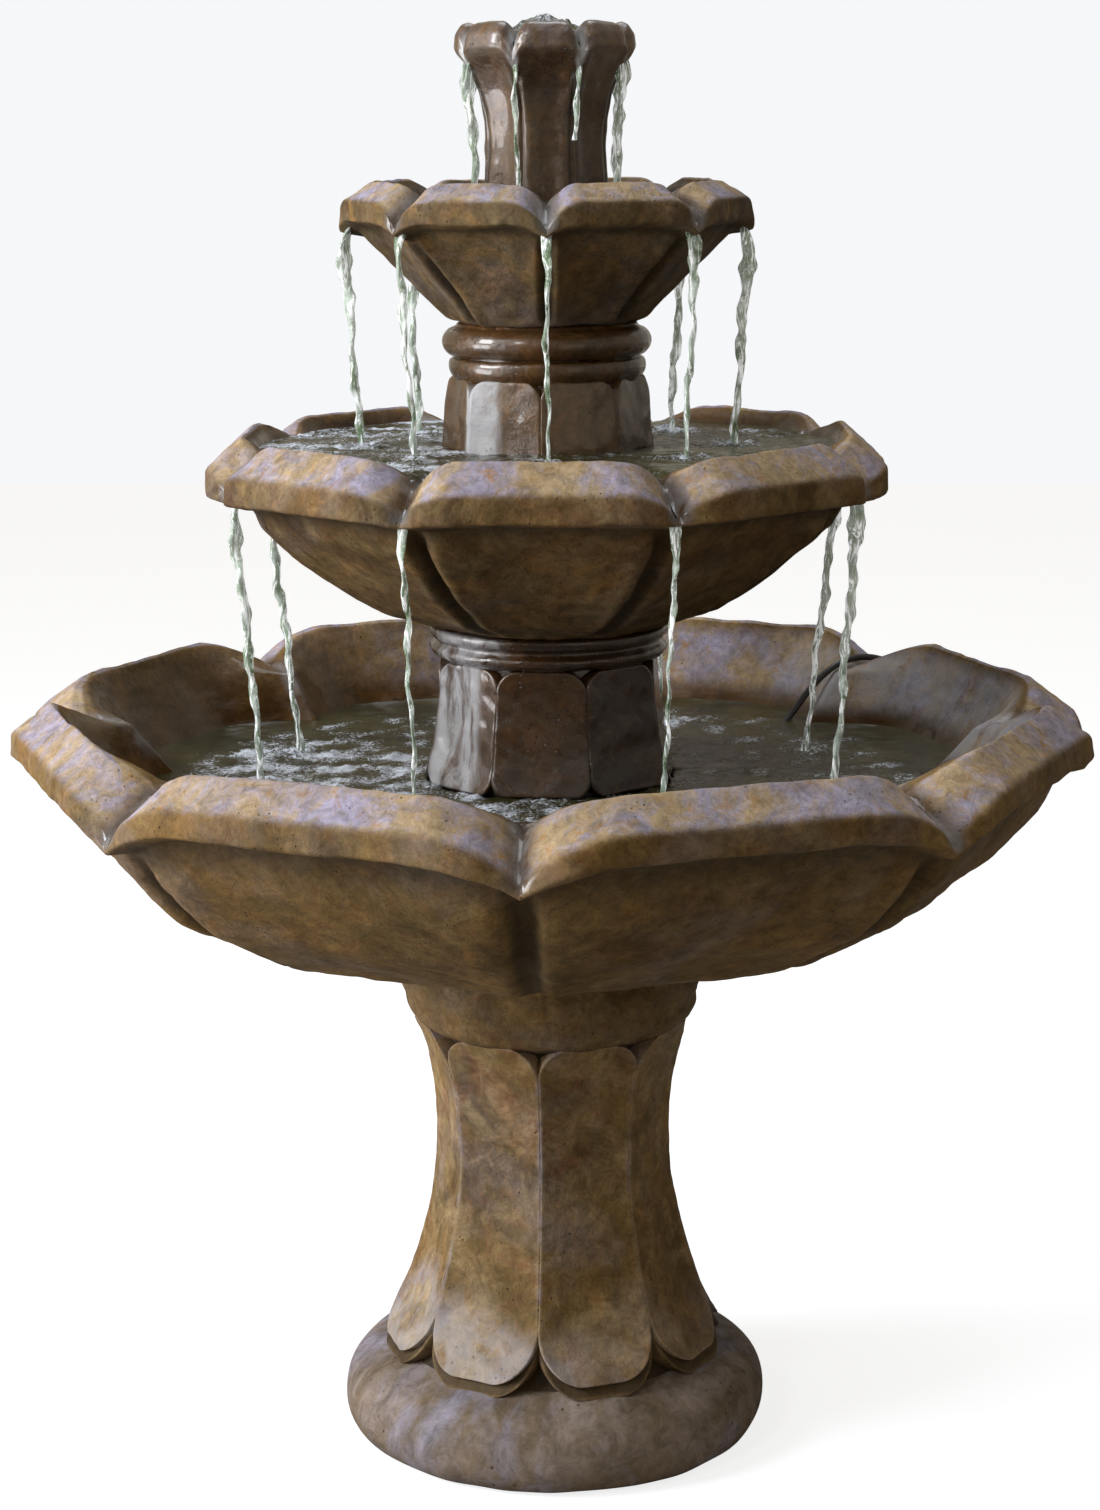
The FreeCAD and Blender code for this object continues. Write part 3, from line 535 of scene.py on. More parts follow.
# The collar is painted darker as shade under the main bowl, most on its lowest part.
closed_surface("pedestal_collar", collar, pedestal_stone,
               masks(painted_shade=0.3 + 0.45 * smooth_step(-collar[..., 2], -0.470, -0.462)))
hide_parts("pedestal")

# ---- Main bowl ----
# The largest casting, eight petals with a bevelled rim.  Neighbouring petals dip into a notch and
# meet below it in a narrow hollow strip that runs down to the hub.
MAIN_LEVEL = 731


def petal_radius(mid, notch, a, start):
    """r = mid / cos(angle) + (notch - mid / cos(half)) e^2, e rising from 0 at a = start to 1 at a = 1."""
    rise = np.clip((a - start) / (1 - start), 0, 1) ** 2
    return mid / np.cos(np.radians(HALF * a)) + (notch - mid / np.cos(np.radians(HALF))) * rise


def petal_casting(rows, turn, seed, step, strip, depth, columns=44, crest=8, last=7, uneven=HAND_CAST):
    """Petalled ring from rows of (r mid, z mid, r notch, z notch, start).  With q the angle from mid petal
    over half a petal, z = mid + (notch - mid) e^2.4, e rising from 0 at q = 0.5 to 1 at the notch.  Rows of
    the underside are set back by a flat-bottomed strip at the notch.  Returns the grid, each point's row
    number counted from the crest and its distance from the notch."""
    table = np.array(rows, float)
    q = np.sin(np.linspace(-np.pi / 2, np.pi / 2, columns + 1))[:-1]
    q = 0.45 * q + 0.55 * np.linspace(-1, 1, columns + 1)[:-1]
    a = np.abs(q)
    r_mid, z_mid, r_notch, z_notch, start = table.T[..., None]
    r = petal_radius(r_mid, r_notch, a, start)
    z = z_mid + (z_notch - z_mid) * np.clip((a - 0.5) / 0.5, 0, 1) ** 2.4
    row = np.broadcast_to(np.arange(len(table), dtype=float)[:, None] - crest, r.shape)
    near_rim = (row[:, 0] > -4) & (row[:, 0] < 4)
    filled = refine(np.stack([r, z, row], -1), np.where(near_rim, step, 2.6 * step), 0)
    row = filled[..., 2].copy()
    r, z, _ = np.moveaxis(smoothed(filled, 2), -1, 0)
    from_notch = r * np.radians(HALF) * (1 - a)[None, :]
    under = smooth_step(row, 2.3, 3.2) * smooth_step(-row, -last - 0.5, 0.3 - last)
    set_back = depth * (1 - smooth_step(from_notch, strip - 4, strip + 5)) * under
    lip = 2.0 * np.exp(-((from_notch - strip - 7) / 6) ** 2) * under
    r = np.maximum(r - set_back + lip, 0)
    degrees = (HALF * q)[None, :] + np.zeros_like(r)
    grid = np.concatenate([polar(r / 1000, degrees + turn + 45 * i, z / 1000) for i in range(PETALS)], 1)
    row = np.tile(row, (1, PETALS))
    from_notch = np.tile(from_notch, (1, PETALS))
    return roughen(grid, uneven, seed), row, from_notch


def band(row, low, high, soft=0.35):
    """1 on the outline's rows between low and high, with soft ends."""
    return smooth_step(row, low - soft, low + soft) * smooth_step(-row, -high - soft, -high + soft)


def petal_masks(row, from_notch, grid, water, strip):
    """Worn rim tone on the rim's bevel, partly painted highlight on its upward face; wet inside near the
    water and in the notches, with a pale painted highlight in the notch channels;
    painted shade in the undercut, in the strips below the notches and under the hub; a lilac stain with
    painted reflection on the inner walls at the right and back.  The water's level is in millimetres."""
    rim = band(row, -0.6, 0.93, 0.12)
    inner = band(row, -9, -1.2)
    above = grid[..., 2] - water / 1000
    near_notch = 1 - smooth_step(from_notch, 6, 16)
    channel = near_notch * band(row, -2.5, 1.7)
    wet = np.clip(inner * (0.55 + 0.45 * smooth_step(-above, -0.07, -0.01)) + channel, 0, 1)
    under = band(row, 3.0, 7)
    groove = (1 - smooth_step(from_notch, strip - 2, strip + 5)) * under
    undercut = band(row, 2.5, 3.3, 0.4) * 0.6
    painted_shade = np.clip(np.maximum(groove * 0.6, undercut) + 0.15 * under, 0, 0.9)
    # The inner wall at the right and back, facing the lamps, is made lighter, less wet and paler: a lilac
    # stain with painted reflection of the sky in the glossy wall.
    lilac_stain_and_reflection = facing(grid, 125, 95) * inner * smooth_step(above, 0.002, 0.03)
    return masks(painted_shade, wet * (1 - 0.75 * lilac_stain_and_reflection),
                 film_and_reflection=np.clip(channel * 0.35 + 0.5 * lilac_stain_and_reflection * facing(grid, 95, 60), 0, 1),
                 rim=np.clip(rim * (1 - 0.6 * channel) + lilac_stain_and_reflection, 0, 1))


main_stone = stone("main_bowl_stone", (0.15, 0.088, 0.028), (0.072, 0.042, 0.012), (0.20, 0.135, 0.055),
                   ochre=0.35, violet=0.16, rust=0.35)
main_rows = [
    (0, 606, 0, 606, 0), (168, 606, 168, 606, 0), (173, 602, 173, 602, 0), (300, 602, 290, 602, 0),
    (392, 650, 345, 650, 0.3), (460, 731, 405, 731, 0.3), (494, 785, 452, 783, 0.3),
    (508, 816, 484, 784, 0.4), (513, 821, 514, 780, 0.5), (552, 791, 560, 748, 0.6),
    (553, 765, 570, 737, 0.6), (525, 757, 538, 730, 0.6), (494, 702, 498, 696, 0.8),
    (438, 641, 446, 641, 0.8), (337, 585, 346, 585, 0.8), (212, 550, 220, 550, 0.8),
    (172, 545, 172, 545, 0), (168, 540, 168, 540, 0), (0, 540, 0, 540, 0),
]
grid, row, from_notch = petal_casting(main_rows, HALF, 41, step=3.2, strip=11.0, depth=6.0)
main_bowl = closed_surface("main_bowl_casting", grid, main_stone,
                           petal_masks(row, from_notch, grid, MAIN_LEVEL, 11.0))


def cut_away(piece, grids):
    """Takes closed shapes out of a casting with a Boolean that is applied straight away."""
    cutter = joined("cutter", grids, main_stone, lambda grid: {"painted_shade": 0.9, "wet": 0.9})
    work = bmesh.new()
    work.from_mesh(cutter.data)
    bmesh.ops.recalc_face_normals(work, faces=work.faces)
    work.to_mesh(cutter.data)
    work.free()
    cut = piece.modifiers.new("cut", "BOOLEAN")
    cut.object = cutter
    cut.solver = "EXACT"
    ready = piece.evaluated_get(bpy.context.evaluated_depsgraph_get())
    mesh = bpy.data.meshes.new_from_object(ready)
    piece.modifiers.clear()
    piece.data = mesh
    bpy.data.objects.remove(cutter, do_unlink=True)


drain = turned_piece([(0, 650), (20.3, 650), (20.3, 597), (12.3, 597), (12.3, 530), (0, 530)], 48, 9.0, 0)
cut_away(main_bowl, [drain + (0, 0.255, 0)])
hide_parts("main_bowl")

# ---- Lower riser ----
# Hollow drum of cast stone that stands in the main pool and is always wet: a round plinth with two
# arches at its back, eight panels, and two rings that carry the middle bowl.
wet_stone = stone("wet_riser_stone", (0.10, 0.058, 0.026), (0.03, 0.018, 0.009), (0.16, 0.105, 0.055),
                  ochre=0.25, violet=0.08, rust=0.7, relief=0.6, sheen=0.4)
LOWER_RISER_TURN = -1.5
SOAKED_THROUGH = 0.95
plinth_outline = [(98, 728), (128, 728), (137, 722), (139, 712), (136, 706), (138, 697), (142, 690),
                  (142, 606), (98, 606)]
plinth = roughen(turned_piece(plinth_outline, 256, 4.0, 2), HAND_CAST, 51)
# Painted shade at half strength over the plinth, which stands under the middle bowl.
lower_plinth = closed_surface("lower_riser_plinth", plinth, wet_stone,
                              masks(0.5, SOAKED_THROUGH))


def doorway(degrees, half_width, low, spring, near, far):
    """Arched opening: a semicircle on two straight sides, carried outwards from one radius to another."""
    t = np.linspace(0, np.pi, 17)
    x = np.r_[half_width * np.cos(t), -half_width, half_width]
    z = np.r_[spring + half_width * np.sin(t), low, low]
    a = np.radians(degrees)
    rows = [polar(r, degrees, z) + np.outer(x * size, (np.cos(a), np.sin(a), 0))
            for r, size in ((near, 0), (near, 1), (far, 1), (far, 0))]
    grid = np.stack(rows) / 1000
    grid[[0, -1]] = grid[[0, -1]].mean(1, keepdims=True)
    return grid


cut_away(lower_plinth, [doorway(degrees, 26, 600, 662, 80, 160) for degrees in (135, 225)])
core_outline = [(60, 866), (107, 866), (107, 830), (110, 790), (118, 745), (124, 722), (60, 722)]
core = turned_piece(core_outline, 160, 8.0, 1)
# The core behind the panels is painted nearly black as shade.
closed_surface("lower_riser_core", core, wet_stone, masks(0.85, SOAKED_THROUGH))
ring_outline = [(40, 895), (127, 895), (127, 885), (120, 882), (120, 878), (126, 874), (126, 868), (122, 864),
                (112, 860), (40, 860)]
rings = roughen(turned_piece(ring_outline, 256, 2.5, 2), ((0.05, 0.0005), (0.018, 0.0003)), 52)
# Rings: light painted shade, and a pale painted reflection on their left front, where they face the lamps.
closed_surface("lower_riser_rings", rings, wet_stone,
               masks(0.35, SOAKED_THROUGH, 0.8 * facing(rings, -42, 26)))
lower_profile = [(134, 722), (129, 738), (124, 755), (120, 772), (118, 790), (115, 812), (114, 830),
                 (114, 866)]
faces, edge = panel_set(lower_profile, 731, 861, 20, 24, LOWER_RISER_TURN, 3.0, 70, 53, 29, 56)
# Panels: painted shade on those facing front right, away from the lamps, and a pale painted reflection of a
# water sheet on the left panel.
lower_panels = joined(
    "lower_riser_panels", faces, wet_stone,
    lambda grid: masks(0.3 * facing(grid, 22, 60), SOAKED_THROUGH, 0.85 * facing(grid, -52, 19)))
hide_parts("lower_riser")

# ---- Middle bowl ----
# The same petalled casting at about three fifths of the size.  Its hub rests on the rings of the
# lower riser and has a bore for the hose.
MIDDLE_TURN = 1.3
MIDDLE_LEVEL = 1083
middle_rows = [
    (14, 950, 14, 950, 0), (120, 950, 120, 950, 0), (123, 946, 123, 946, 0), (165, 952, 155, 952, 0),
    (225, 985, 205, 985, 0.3), (272, 1040, 245, 1040, 0.3), (298, 1078, 280, 1070, 0.3),
    (309, 1096, 294, 1076, 0.4), (314, 1100, 315, 1068, 0.5), (349, 1069, 340, 1045, 0.6),
    (350, 1042, 345.5, 1037, 0.6), (309, 1034, 308, 1029, 0.6), (291, 1010, 289, 1008, 0.8),
    (232, 955, 234, 955, 0.8), (175, 917, 179, 917, 0.8), (127, 900, 131, 900, 0.8), (120, 895, 120, 895, 0),
    (14, 895, 14, 895, 0),
]
middle_stone = stone("middle_bowl_stone", (0.14, 0.08, 0.028), (0.06, 0.034, 0.012), (0.22, 0.155, 0.07),
                     ochre=0.4, violet=0.12, rust=0.45, patch=1.15)
grid, row, from_notch = petal_casting(middle_rows, MIDDLE_TURN, 61, step=2.6, strip=8.0, depth=5.0)
middle_bowl = closed_surface("middle_bowl_casting", grid, middle_stone,
                             petal_masks(row, from_notch, grid, MIDDLE_LEVEL, 8.0))
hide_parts("middle_bowl")

# ---- Upper riser ----
# Shorter drum of cast stone between the middle and upper bowls: eight panels under a fillet, and a
# fat round bead that carries the upper bowl.
UPPER_RISER_TURN = 21.7
bead = [(94 + 15.5 * np.sin(a), 1192 + 15.5 * np.cos(a)) for a in np.linspace(0, np.pi, 13)]
bead_outline = [(40, 1212), (94, 1212)] + bead + [(101, 1175), (103, 1172), (103, 1163), (101, 1159),
                                                  (95, 1150), (40, 1150)]
bead_grid = roughen(turned_piece(bead_outline, 256, 3.0, 2), ((0.06, 0.0004), (0.02, 0.0002)), 71)
upper_riser_stone = stone("upper_riser_stone", (0.13, 0.08, 0.035), (0.045, 0.026, 0.012), (0.24, 0.18, 0.11),
                          ochre=0.6, violet=0.15, rust=0.7, patch=1.2, sheen=0.4)
# Bead: a little painted shade under the upper bowl.
closed_surface("upper_riser_bead", bead_grid, upper_riser_stone, masks(0.15, 1.0))
upper_core_outline = [(40, 1160), (95, 1160), (98, 1100), (104, 1020), (108, 976), (119, 972), (119, 950),
                      (40, 950)]
core = turned_piece(upper_core_outline, 192, 6.0, 1)
# The core behind the panels is painted dark as shade.
closed_surface("upper_riser_core", core, upper_riser_stone, masks(0.7, SOAKED_THROUGH))
upper_profile = [(114, 976), (111, 1000), (109, 1020), (106, 1050), (104, 1080), (102, 1105), (100, 1130),
                 (98, 1162)]
faces, edge = panel_set(upper_profile, 982, 1156, 20, 20, UPPER_RISER_TURN, 2.5, 60, 73, 29, 56)
# The left panel, which faces the lamps, is less wet and carries a pale painted reflection.
upper_panels = joined(
    "upper_riser_panels", faces, upper_riser_stone,
    lambda grid: masks(wet=0.9 - 0.4 * facing(grid, -35, 18), film_and_reflection=0.95 * facing(grid, -37, 13)))
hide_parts("upper_riser")

# ---- Upper bowl ----
# The smallest petalled bowl, cast like the others and resting on the bead, its petals turned half
# a step so that a notch faces the front.
UPPER_TURN = 25.4
UPPER_LEVEL = 1335
upper_rows = [
    (14, 1254, 14, 1254, 0), (88, 1254, 86, 1254, 0), (93, 1253, 90, 1253, 0), (100, 1256, 94, 1256, 0),
    (130, 1285, 115, 1285, 0.3), (152, 1320, 138, 1318, 0.3), (166, 1342, 155, 1332, 0.3),
    (172, 1353, 166, 1334, 0.4), (177, 1356, 184, 1330, 0.5), (205, 1338, 211, 1312, 0.6),
    (205, 1316, 214, 1305, 0.6), (184, 1310, 192, 1299, 0.6), (172, 1296, 176, 1290, 0.8),
    (141, 1262, 143, 1262, 0.8), (108, 1227, 109, 1227, 0.8), (99, 1216, 100, 1216, 0.8),
    (94, 1212, 94, 1212, 0), (14, 1212, 14, 1212, 0),
]
upper_stone = stone("upper_bowl_stone", (0.105, 0.068, 0.03), (0.048, 0.03, 0.012), (0.17, 0.12, 0.06),
                    ochre=0.45, violet=0.15, rust=0.3, patch=1.35)
grid, row, from_notch = petal_casting(upper_rows, UPPER_TURN, 81, step=2.0, strip=5.0, depth=3.5, columns=40)
upper_bowl = closed_surface("upper_bowl_casting", grid, upper_stone,
                            petal_masks(row, from_notch, grid, UPPER_LEVEL, 5.0))
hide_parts("upper_bowl")

# ---- Top cup ----
# Tulip-shaped stone casting that stands in the upper pool.  The hose comes up through it, and its
# eight lips are rolled outwards.
CUP_TURN = 4.0
cup_rows = [
    (14, 1452, 14, 1452, 0), (38, 1452, 38, 1452, 0), (44, 1454, 42, 1454, 0), (52, 1470, 49, 1468, 0.2),
    (62, 1496, 57, 1490, 0.2), (70, 1509, 66, 1495, 0.3), (77, 1514, 75, 1494, 0.4),
    (85, 1511, 84, 1490, 0.4), (91, 1501, 89, 1483, 0.4), (92, 1489, 89, 1474, 0.4),
    (88, 1481, 82, 1464, 0.4), (78, 1469, 73, 1452, 0.5), (66, 1445, 66, 1432, 0.8),
    (60, 1415, 63, 1410, 0.8), (60, 1380, 63, 1380, 0.8), (62, 1330, 65, 1330, 0.8),
    (67, 1270, 70, 1270, 0.8), (71, 1254, 74, 1254, 0.8), (14, 1254, 14, 1254, 0),
]
cup_stone = stone("top_cup_stone", (0.115, 0.066, 0.026), (0.042, 0.024, 0.009), (0.19, 0.145, 0.09),
                  ochre=0.35, violet=0.12, rust=0.5, patch=1.5, sheen=0.4)
grid, row, from_notch = petal_casting(cup_rows, CUP_TURN, 91, step=2.0, strip=0.5, depth=1.5, columns=36,
                                      crest=6, last=12, uneven=((0.06, 0.0006), (0.02, 0.0003)))
near_notch = 1 - smooth_step(from_notch, 2, 8)
# Lips: pale rim tone as wear and painted highlight; at each notch a pale painted reflection of the water at
# the lip and painted shade in the flute below it.
top_cup = closed_surface("top_cup_casting", grid, cup_stone, {
    "rim": 0.5 * band(row, -1, 3.2), "wet": 0.9 - 0.3 * facing(grid, -34, 34) * band(row, 6, 11),
    "painted_shade": 0.35 * near_notch * band(row, 4, 11), "film_and_reflection": np.clip(near_notch * band(row, -1, 4), 0, 1)})
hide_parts("top_cup")

# ---- Pump and plumbing ----
# Bought-in pump of black moulded plastic with rubber seals and feet, a brass barb, a clear hose held
# by a stainless clamp, and rubber grommets where the hose goes through each casting.
finishes = {slot: moulded(*look) for slot, *look in (
    ("pump_black_plastic", "pump_plastic", (0.02, 0.02, 0.022), (0.035, 0.035, 0.037), 0.5, 1400.0, 0.5),
    ("black_rubber", "black_rubber_finish", (0.016, 0.016, 0.016), (0.03, 0.03, 0.029), 0.7, 900.0, 0.4),
    ("impeller_plastic", "impeller_plastic_finish", (0.03, 0.11, 0.33), (0.045, 0.14, 0.38), 0.35, 1100.0,
     0.2),
    ("grey_plastic", "grey_plastic_finish", (0.10, 0.10, 0.108), (0.13, 0.13, 0.135), 0.5, 1200.0, 0.4),
    ("yellow_brass", "brass_finish", (0.62, 0.42, 0.15), (0.48, 0.30, 0.11), 0.3, 700.0, 0.1, 1.0),
    ("stainless_steel", "stainless_finish", (0.56, 0.56, 0.54), (0.46, 0.46, 0.45), 0.27, 800.0, 0.1, 1.0),
    ("white_ceramic", "shaft_ceramic", (0.78, 0.77, 0.72), (0.70, 0.69, 0.64), 0.25, 900.0, 0.05),
    ("clear_vinyl", "hose_vinyl", (0.62, 0.68, 0.64), (0.50, 0.58, 0.54), 0.18, 300.0, 0.1, 0.0, 0.4),
    ("tie_fabric", "tie_webbing", (0.012, 0.012, 0.013), (0.03, 0.03, 0.03), 0.85, 1600.0, 1.0))}
finishes.update(plug_rubber=lead_jacket, plug_brass=finishes["yellow_brass"])
for part in frame["record"]["subparts"]:
    if part["material_slot"] in finishes:
        dress(nodes[part["node"]], finishes[part["material_slot"]])

# ---- Pools ----
# Still water a finger's width below each rim, broken by ripples and foam where the streams land; in the
# middle and upper bowls a thin tongue of it runs out through every notch.


def build_pool_water():
    """Dark olive water with a mirror-like skin, whitened with foam and painted glints where that attribute is
    high.
    """
    made, shader, where = new_material("pool_water")
    depth = noise(where, 9.0, 4.0, 0.6, 0.6)
    deep = mix_tones(remap(depth, 0.35, 0.68), (0.018, 0.018, 0.006, 1), (0.06, 0.052, 0.02, 1))
    foam_and_glint = attribute(shader.id_data, "foam_and_glint")
    froth = noise(where, 150.0, 7.0, 0.8, 1.2)
    edge = remap(foam_and_glint, 0.0, 1.0, 0.78, 0.36)
    white = remap(arithmetic("SUBTRACT", froth, edge), -0.01, 0.09)
    feed(shader, Base_Color=mix_tones(times(white, 0.85), deep, (0.66, 0.72, 0.82, 1)),
         Roughness=remap(white, 0.0, 1.0, 0.04, 0.25))
    boil = times(noise(where, 85.0, 5.0, 0.7, 1.0), remap(foam_and_glint, 0.1, 0.7, 0.25, 3.0))
    chop = arithmetic("ADD", noise(where, 30.0, 3.0, 0.55, 1.2), boil)
    emboss(shader, chop, 0.4, 0.004)
    shader.inputs["IOR"].default_value = WATER_IOR
    return made


pool_water = build_pool_water()


def level_waves(flat, size, seed):
    """Unevenness that doesn't depend on the height."""
    return waves(flat * (1, 1, 0), size, seed)


def pool(name, level, inner, wall_mid, wall_notch, turn, lip, drop, spots, foam_bias, seed, steps, columns):
    """Water body: top from the riser out to the wall's petal outline, rings r = mix(inner, wall, s), its
    height the level plus rings A cos(2 pi d / w) exp(-d / l) round each landing spot and small chop; at the
    notches it runs on to the lip and falls by drop s^5.  A flat underside closes it."""
    q = np.linspace(-1, 1, columns + 1)[:-1]
    a = np.abs(q)
    wall = petal_radius(wall_mid, wall_notch, a, 0.3) + 3
    spill = np.clip((a - 0.93) / 0.07, 0, 1) ** 1.5 if lip else a * 0
    out = np.tile(wall + spill * ((lip or 0) - wall_notch), PETALS)
    fall = np.tile(spill, PETALS) * drop
    degrees = np.concatenate([HALF * q + turn + 45 * i for i in range(PETALS)])
    s = np.linspace(0, 1, steps)[:, None]
    r = inner + (out[None, :] - inner) * s
    flat = polar(r / 1000, degrees[None, :], level / 1000 + 0 * r)
    foam_and_glint = foam_bias(flat) + 0 * r
    height = 0.0005 * level_waves(flat, 0.07, seed) + 0.0002 * level_waves(flat, 0.025, seed + 1)
    height = height + 0.0018 * foam_and_glint * level_waves(flat, 0.016, seed + 3)
    drift = 0.5 + 0.5 * level_waves(flat, 0.06, seed + 5)
    for x, y, size in spots:
        d = np.hypot(flat[..., 0] - x, flat[..., 1] - y)
        height = height + size * 0.004 * np.cos(2 * np.pi * d / 0.022) * np.exp(-d / 0.03)
        height = height + size * 0.0035 * level_waves(flat, 0.014, seed + 2) * np.exp(-(d / 0.035) ** 2)
        foam_and_glint = np.maximum(foam_and_glint, size * np.exp(-(d / 0.045) ** 2) * 1.05)
        foam_and_glint = np.maximum(foam_and_glint, size * np.exp(-(d / 0.10) ** 2) * 0.8 * np.clip(drift, 0.3, 1))
    top = flat.copy()
    top[..., 2] += height * smooth_step(1 - s, 0.0, 0.06) - fall[None, :] / 1000 * s ** 5
    bottom = flat[::-1].copy()
    bottom[..., 2] = top[::-1, :, 2] - 0.003 - 0.010 * smooth_step(1 - s[::-1], 0, 0.25)
    grid = np.concatenate([top, bottom])
    foam_and_glint = np.concatenate([foam_and_glint + 0.5 * fall[None, :] / max(drop, 1) * s ** 3, foam_and_glint[::-1]])
    return closed_surface(name, grid, pool_water, {"foam_and_glint": np.clip(foam_and_glint, 0, 1)})


def notch_angles(turn):
    """Angles from -Y of a casting's eight notches, between -180 and 180."""
    return (turn + HALF + 45 * np.arange(PETALS) + 180) % 360 - 180


# Each fall: where it leaves the notch (radius, height), the height that each stream ends at and how far
# in it lands, in millimetres.  One thin stream of the cup ends half way, where it clings and spreads.
FALLS = {
    "cup": (notch_angles(CUP_TURN), 87, 1486, np.where(np.arange(PETALS) == 0, 1396, UPPER_LEVEL), 10),
    "upper": (notch_angles(UPPER_TURN), 212, 1308, np.full(PETALS, MIDDLE_LEVEL), 18),
    "middle": (notch_angles(MIDDLE_TURN), 345, 1046, np.full(PETALS, MAIN_LEVEL), 34),
}


def landings(fall, seed):
    """Where a tier's streams land: (x, y, strength) in metres."""
    angles, r, _, _, inward = FALLS[fall]
    strength = np.random.default_rng(seed).uniform(0.7, 1.0, len(angles))
    spots = polar((r - inward) / 1000, angles, 0.0)
    return np.c_[spots[:, :2], strength]


def left_front_foam_and_glints(flat):
    """More foam and painted glints on the left of the middle pool, less on the right and back, in drifting
    patches.
    """
    return 0.34 + 0.18 * level_waves(flat, 0.05, 9) + 0.3 * smooth_step(-flat[..., 0], -0.20, 0.20)


def scattered_foam_and_glints(flat):
    """Foam and painted glints in drifting patches round the riser, most of them on the front left."""
    r = np.hypot(flat[..., 0], flat[..., 1])
    patches = 0.46 + 0.2 * level_waves(flat, 0.05, 7)
    return (patches + 0.22 * facing(flat, -45, 90)) * (1 - smooth_step(r, 0.36, 0.44))


pool("main_pool_water", MAIN_LEVEL, 132, 460, 405, HALF, None, 0, landings("middle", 1), scattered_foam_and_glints,
     101, 70, 48)
pool("middle_pool_water", MIDDLE_LEVEL, 108, 302, 297, MIDDLE_TURN, 338, 36, landings("upper", 2),
     left_front_foam_and_glints, 102, 50, 40)
pool("upper_pool_water", UPPER_LEVEL, 60, 163, 158, UPPER_TURN, 207, 24, landings("cup", 3),
     lambda flat: 0.45, 103, 36, 32)

# ---- Water rising in the cup ----
# The hose ends under the surface, so the water wells up in a low dome of foam and runs out between
# the lips of the cup.
cup_rings = np.linspace(0, 1, 30)[:, None]
q = np.tile(np.linspace(-1, 1, 33)[:-1], PETALS)
rim_r = np.where(np.abs(q) > 0.8, 69 + 90 * (np.abs(q) - 0.8), 69)
degrees = np.repeat(CUP_TURN + 45 * np.arange(PETALS), 32) + HALF * q
flat = polar(rim_r[None, :] / 1000 * cup_rings, degrees[None, :], 1.503 + 0 * cup_rings)
dome = flat.copy()
dome[..., 2] += (0.017 * np.exp(-(cup_rings / 0.42) ** 2)
                 + 0.003 * waves(flat, 0.016, 111) * (1 - cup_rings ** 4))
dome[..., 2] -= 0.012 * np.clip((np.abs(q) - 0.8) / 0.2, 0, 1)[None, :] * cup_rings ** 4
under_dome = flat[::-1].copy()
under_dome[..., 2] = dome[::-1, :, 2] - 0.004
foam_and_glint = np.concatenate([0.75 - 0.35 * cup_rings + 0 * flat[..., 0], 0 * flat[..., 0]])
closed_surface("cup_water", np.concatenate([dome, under_dome]), pool_water, {"foam_and_glint": foam_and_glint})

# ---- Falling water ----
# From every notch a sheet of water gathers into a rope that twists and thins as it drops to the
# pool below: clear water, darkened green in patches as painted refraction, with white streaks of air that
# glow faintly as painted highlight.


def build_falling_water():
    """Clear water, dark green in patches as painted refraction of dark surroundings; long white streaks where
    it carries air, glowing faintly as painted highlight.
    """
    made, shader, where = new_material("falling_water")
    streak = noise(stretched(where, (150.0, 150.0, 28.0)), 1.0, 5.0, 0.65, 1.5)
    white = remap(streak, 0.49, 0.60)
    green = mix_tones(remap(noise(where, 45.0), 0.4, 0.6), (0.20, 0.30, 0.17, 1),
                      (0.60, 0.70, 0.62, 1))
    # Emission on the white streaks is a painted glow; the dark green patches stand in for refraction of dark
    # surroundings.
    feed(shader, Base_Color=mix_tones(white, green, (0.96, 0.97, 1.0, 1)),
         Emission_Color=mix_tones(white, (0, 0, 0, 1), (0.95, 0.97, 1.0, 1)),
         Roughness=remap(white, 0.0, 1.0, 0.03, 0.35), Alpha=remap(white, 0.0, 1.0, 0.8, 1.0))
    emboss(shader, streak, 0.6, 0.003)
    shader.inputs["Emission Strength"].default_value = 0.3
    shader.inputs["IOR"].default_value = WATER_IOR
    shader.inputs["Transmission Weight"].default_value = 0.45
    return made


falling_water = build_falling_water()


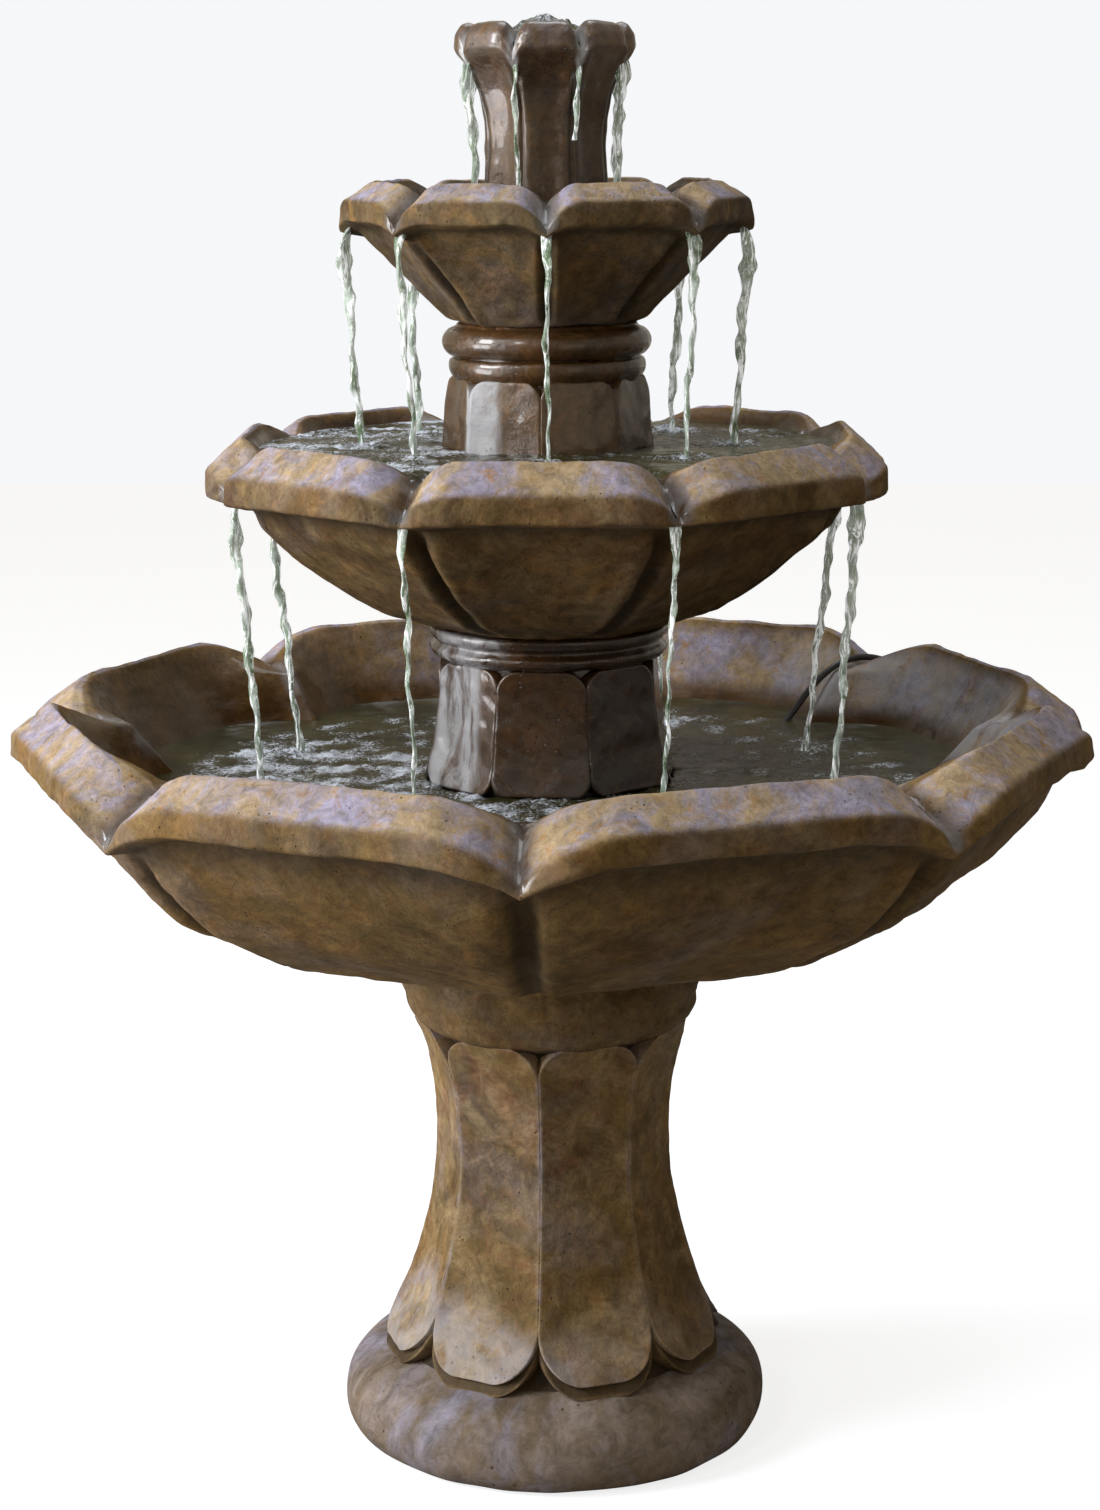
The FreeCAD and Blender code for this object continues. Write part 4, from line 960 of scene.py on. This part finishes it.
def stream(start_r, start_z, end_z, inward, degrees, width, seed, sheet, steps=90, around=14):
    """Rope of water: centre r = start - inward s^0.85 - curl at the lip, z falling evenly, swaying by two
    slow sines; its section is an ellipse that turns with s and whose size pulses while it narrows."""
    rng = np.random.default_rng(seed)
    p = rng.uniform(0, 2 * np.pi, 8)
    s = np.linspace(0, 1, steps)[:, None]
    drop = (start_z - end_z) / 1000
    fallen = s * drop
    lip = np.exp(-fallen / 0.010)

    def swing(wavelength, phase):
        """Sine of the height fallen, over a wavelength in metres."""
        return np.sin(2 * np.pi * fallen / wavelength + phase)

    sway = 0.0012 * swing(0.13, p[0]) + 0.0008 * swing(0.045, p[1])
    surge = 0.0012 * swing(0.11, p[2]) + 0.0008 * swing(0.039, p[3])
    grow = smooth_step(fallen, 0.0, 0.04)
    r = start_r / 1000 - inward / 1000 * s ** 0.85 + surge * grow - 0.012 * lip
    z = start_z / 1000 - fallen + 0.004 * lip
    a = np.radians(degrees)
    across = np.array([np.cos(a), np.sin(a)])
    out = np.array([np.sin(a), -np.cos(a)])
    big = width / 2000 * (0.52 + 0.48 * np.exp(-fallen / 0.07))
    pulse = 1 + 0.22 * swing(0.042, p[4]) + 0.13 * swing(0.019, p[5])
    wide = big * (1 + (pulse - 1) * grow) * (1 + sheet * np.exp(-(fallen / 0.045) ** 1.5))
    thin = big * (0.72 + 0.16 * swing(0.055, p[6])) * (1 - 0.25 * np.exp(-fallen / 0.03))
    twist = (0.4 * p[7] + 0.5) * smooth_step(fallen, 0.03, 0.10) + fallen / drop * 5.0
    t = np.linspace(0, 2 * np.pi, around + 1)[None, :-1]
    u = wide * np.cos(t) * np.cos(twist) - thin * np.sin(t) * np.sin(twist) + sway * grow
    v = wide * np.cos(t) * np.sin(twist) + thin * np.sin(t) * np.cos(twist)
    xy = (r + v)[..., None] * out + u[..., None] * across
    body = np.concatenate([xy, (z + 0 * u)[..., None]], -1)
    centres = np.broadcast_to(body.mean(1, keepdims=True), body.shape)
    return np.concatenate([centres[:1], body, centres[-1:]])[:, ::-1]


def front_on(degrees):
    """1 for the notches that open towards the front, 0 for those at the sides and back."""
    return float(smooth_step(np.cos(np.radians(degrees)), 0.5, 0.85))


def fall_set(name, fall, width, seed):
    """All the streams of one tier as one piece."""
    angles, r, z0, z1, inward = FALLS[fall]
    rng = np.random.default_rng(seed)
    ropes = [stream(r, z0, z1[i], inward * rng.uniform(0.7, 1.3), angle,
                    width * rng.uniform(0.85, 1.15) * (1 - 0.35 * front_on(angle)), seed + 7 * i,
                    0.8 - 0.5 * front_on(angle))
             for i, angle in enumerate(angles)]
    return joined(name, ropes, falling_water, lambda grid: {"foam_and_glint": 0.0})


fall_set("cup_streams", "cup", 13, 201)
fall_set("upper_bowl_streams", "upper", 15, 301)
fall_set("middle_bowl_streams", "middle", 15, 401)

# ---- Floor and light ----
# Plain pale studio floor, broad lamps high and low on the left, a small one for glints, weaker ones
# on the right and above, and a soft sky.
floor_mesh = bpy.data.meshes.new("studio_floor")
floor_mesh.from_pydata([(-9, -9, 0), (9, -9, 0), (9, 9, 0), (-9, 9, 0)], [], [(0, 1, 2, 3)])
studio_floor = placed("studio_floor", floor_mesh)
floor_paint, shader, where = new_material("floor_paint")
cloud = mix_tones(noise(where, 2.0), (0.34, 0.35, 0.37, 1), (0.32, 0.33, 0.35, 1))
seen = add_node(shader.id_data, "ShaderNodeLightPath").outputs["Is Camera Ray"]
feed(shader, Base_Color=mix_tones(seen, (0.34, 0.32, 0.29, 1), cloud),
     Emission_Color=mix_tones(seen, (0, 0, 0, 1), (1, 1, 1, 1)))
shader.inputs["Roughness"].default_value = 0.7
shader.inputs["Specular IOR Level"].default_value = 0.1
shader.inputs["Emission Strength"].default_value = 0.8
floor_mesh.materials.append(floor_paint)


def soft_light(name, place, aim, size, power, tint):
    """Square studio lamp at a place, turned to face a point."""
    lamp = bpy.data.lights.new(name, "AREA")
    lamp.shape = "SQUARE"
    lamp.size = size
    lamp.energy = power
    lamp.color = tint
    facing_out = (Vector(place) - Vector(aim)).to_track_quat("Z", "Y")
    placed(name, lamp).matrix_world = Matrix.LocRotScale(Vector(place), facing_out, None)


soft_light("key_lamp", (-3.6, -1.5, 2.8), (0, 0, 0.8), 1.6, 225, (0.97, 0.98, 1.0))
soft_light("glint_lamp", (-1.9, -3.0, 3.2), (0, 0, 1.1), 0.5, 26, (0.93, 0.96, 1.0))
soft_light("low_lamp", (-3.6, -1.0, 0.5), (0, 0, 0.6), 1.6, 128, (0.98, 0.97, 1.0))
soft_light("fill_lamp", (2.6, -4.0, 1.6), (0, 0, 0.7), 2.5, 12, (1.0, 0.86, 0.66))
soft_light("top_lamp", (0.2, 0.8, 4.2), (0, 0, 1.0), 2.0, 60, (0.88, 0.93, 1.0))
sky = bpy.data.worlds.new("studio_sky")
sky.use_nodes = True
tree = sky.node_tree
seen = add_node(tree, "ShaderNodeLightPath").outputs["Is Camera Ray"]
feed(tree.nodes["Background"], Color=mix_tones(seen, (1.0, 0.91, 0.76, 1), (0.97, 0.98, 1.0, 1)),
     Strength=remap(seen, 0.0, 1.0, 0.34, 0.95))
bpy.context.scene.world = sky
bpy.context.scene.view_settings.view_transform = "Standard"
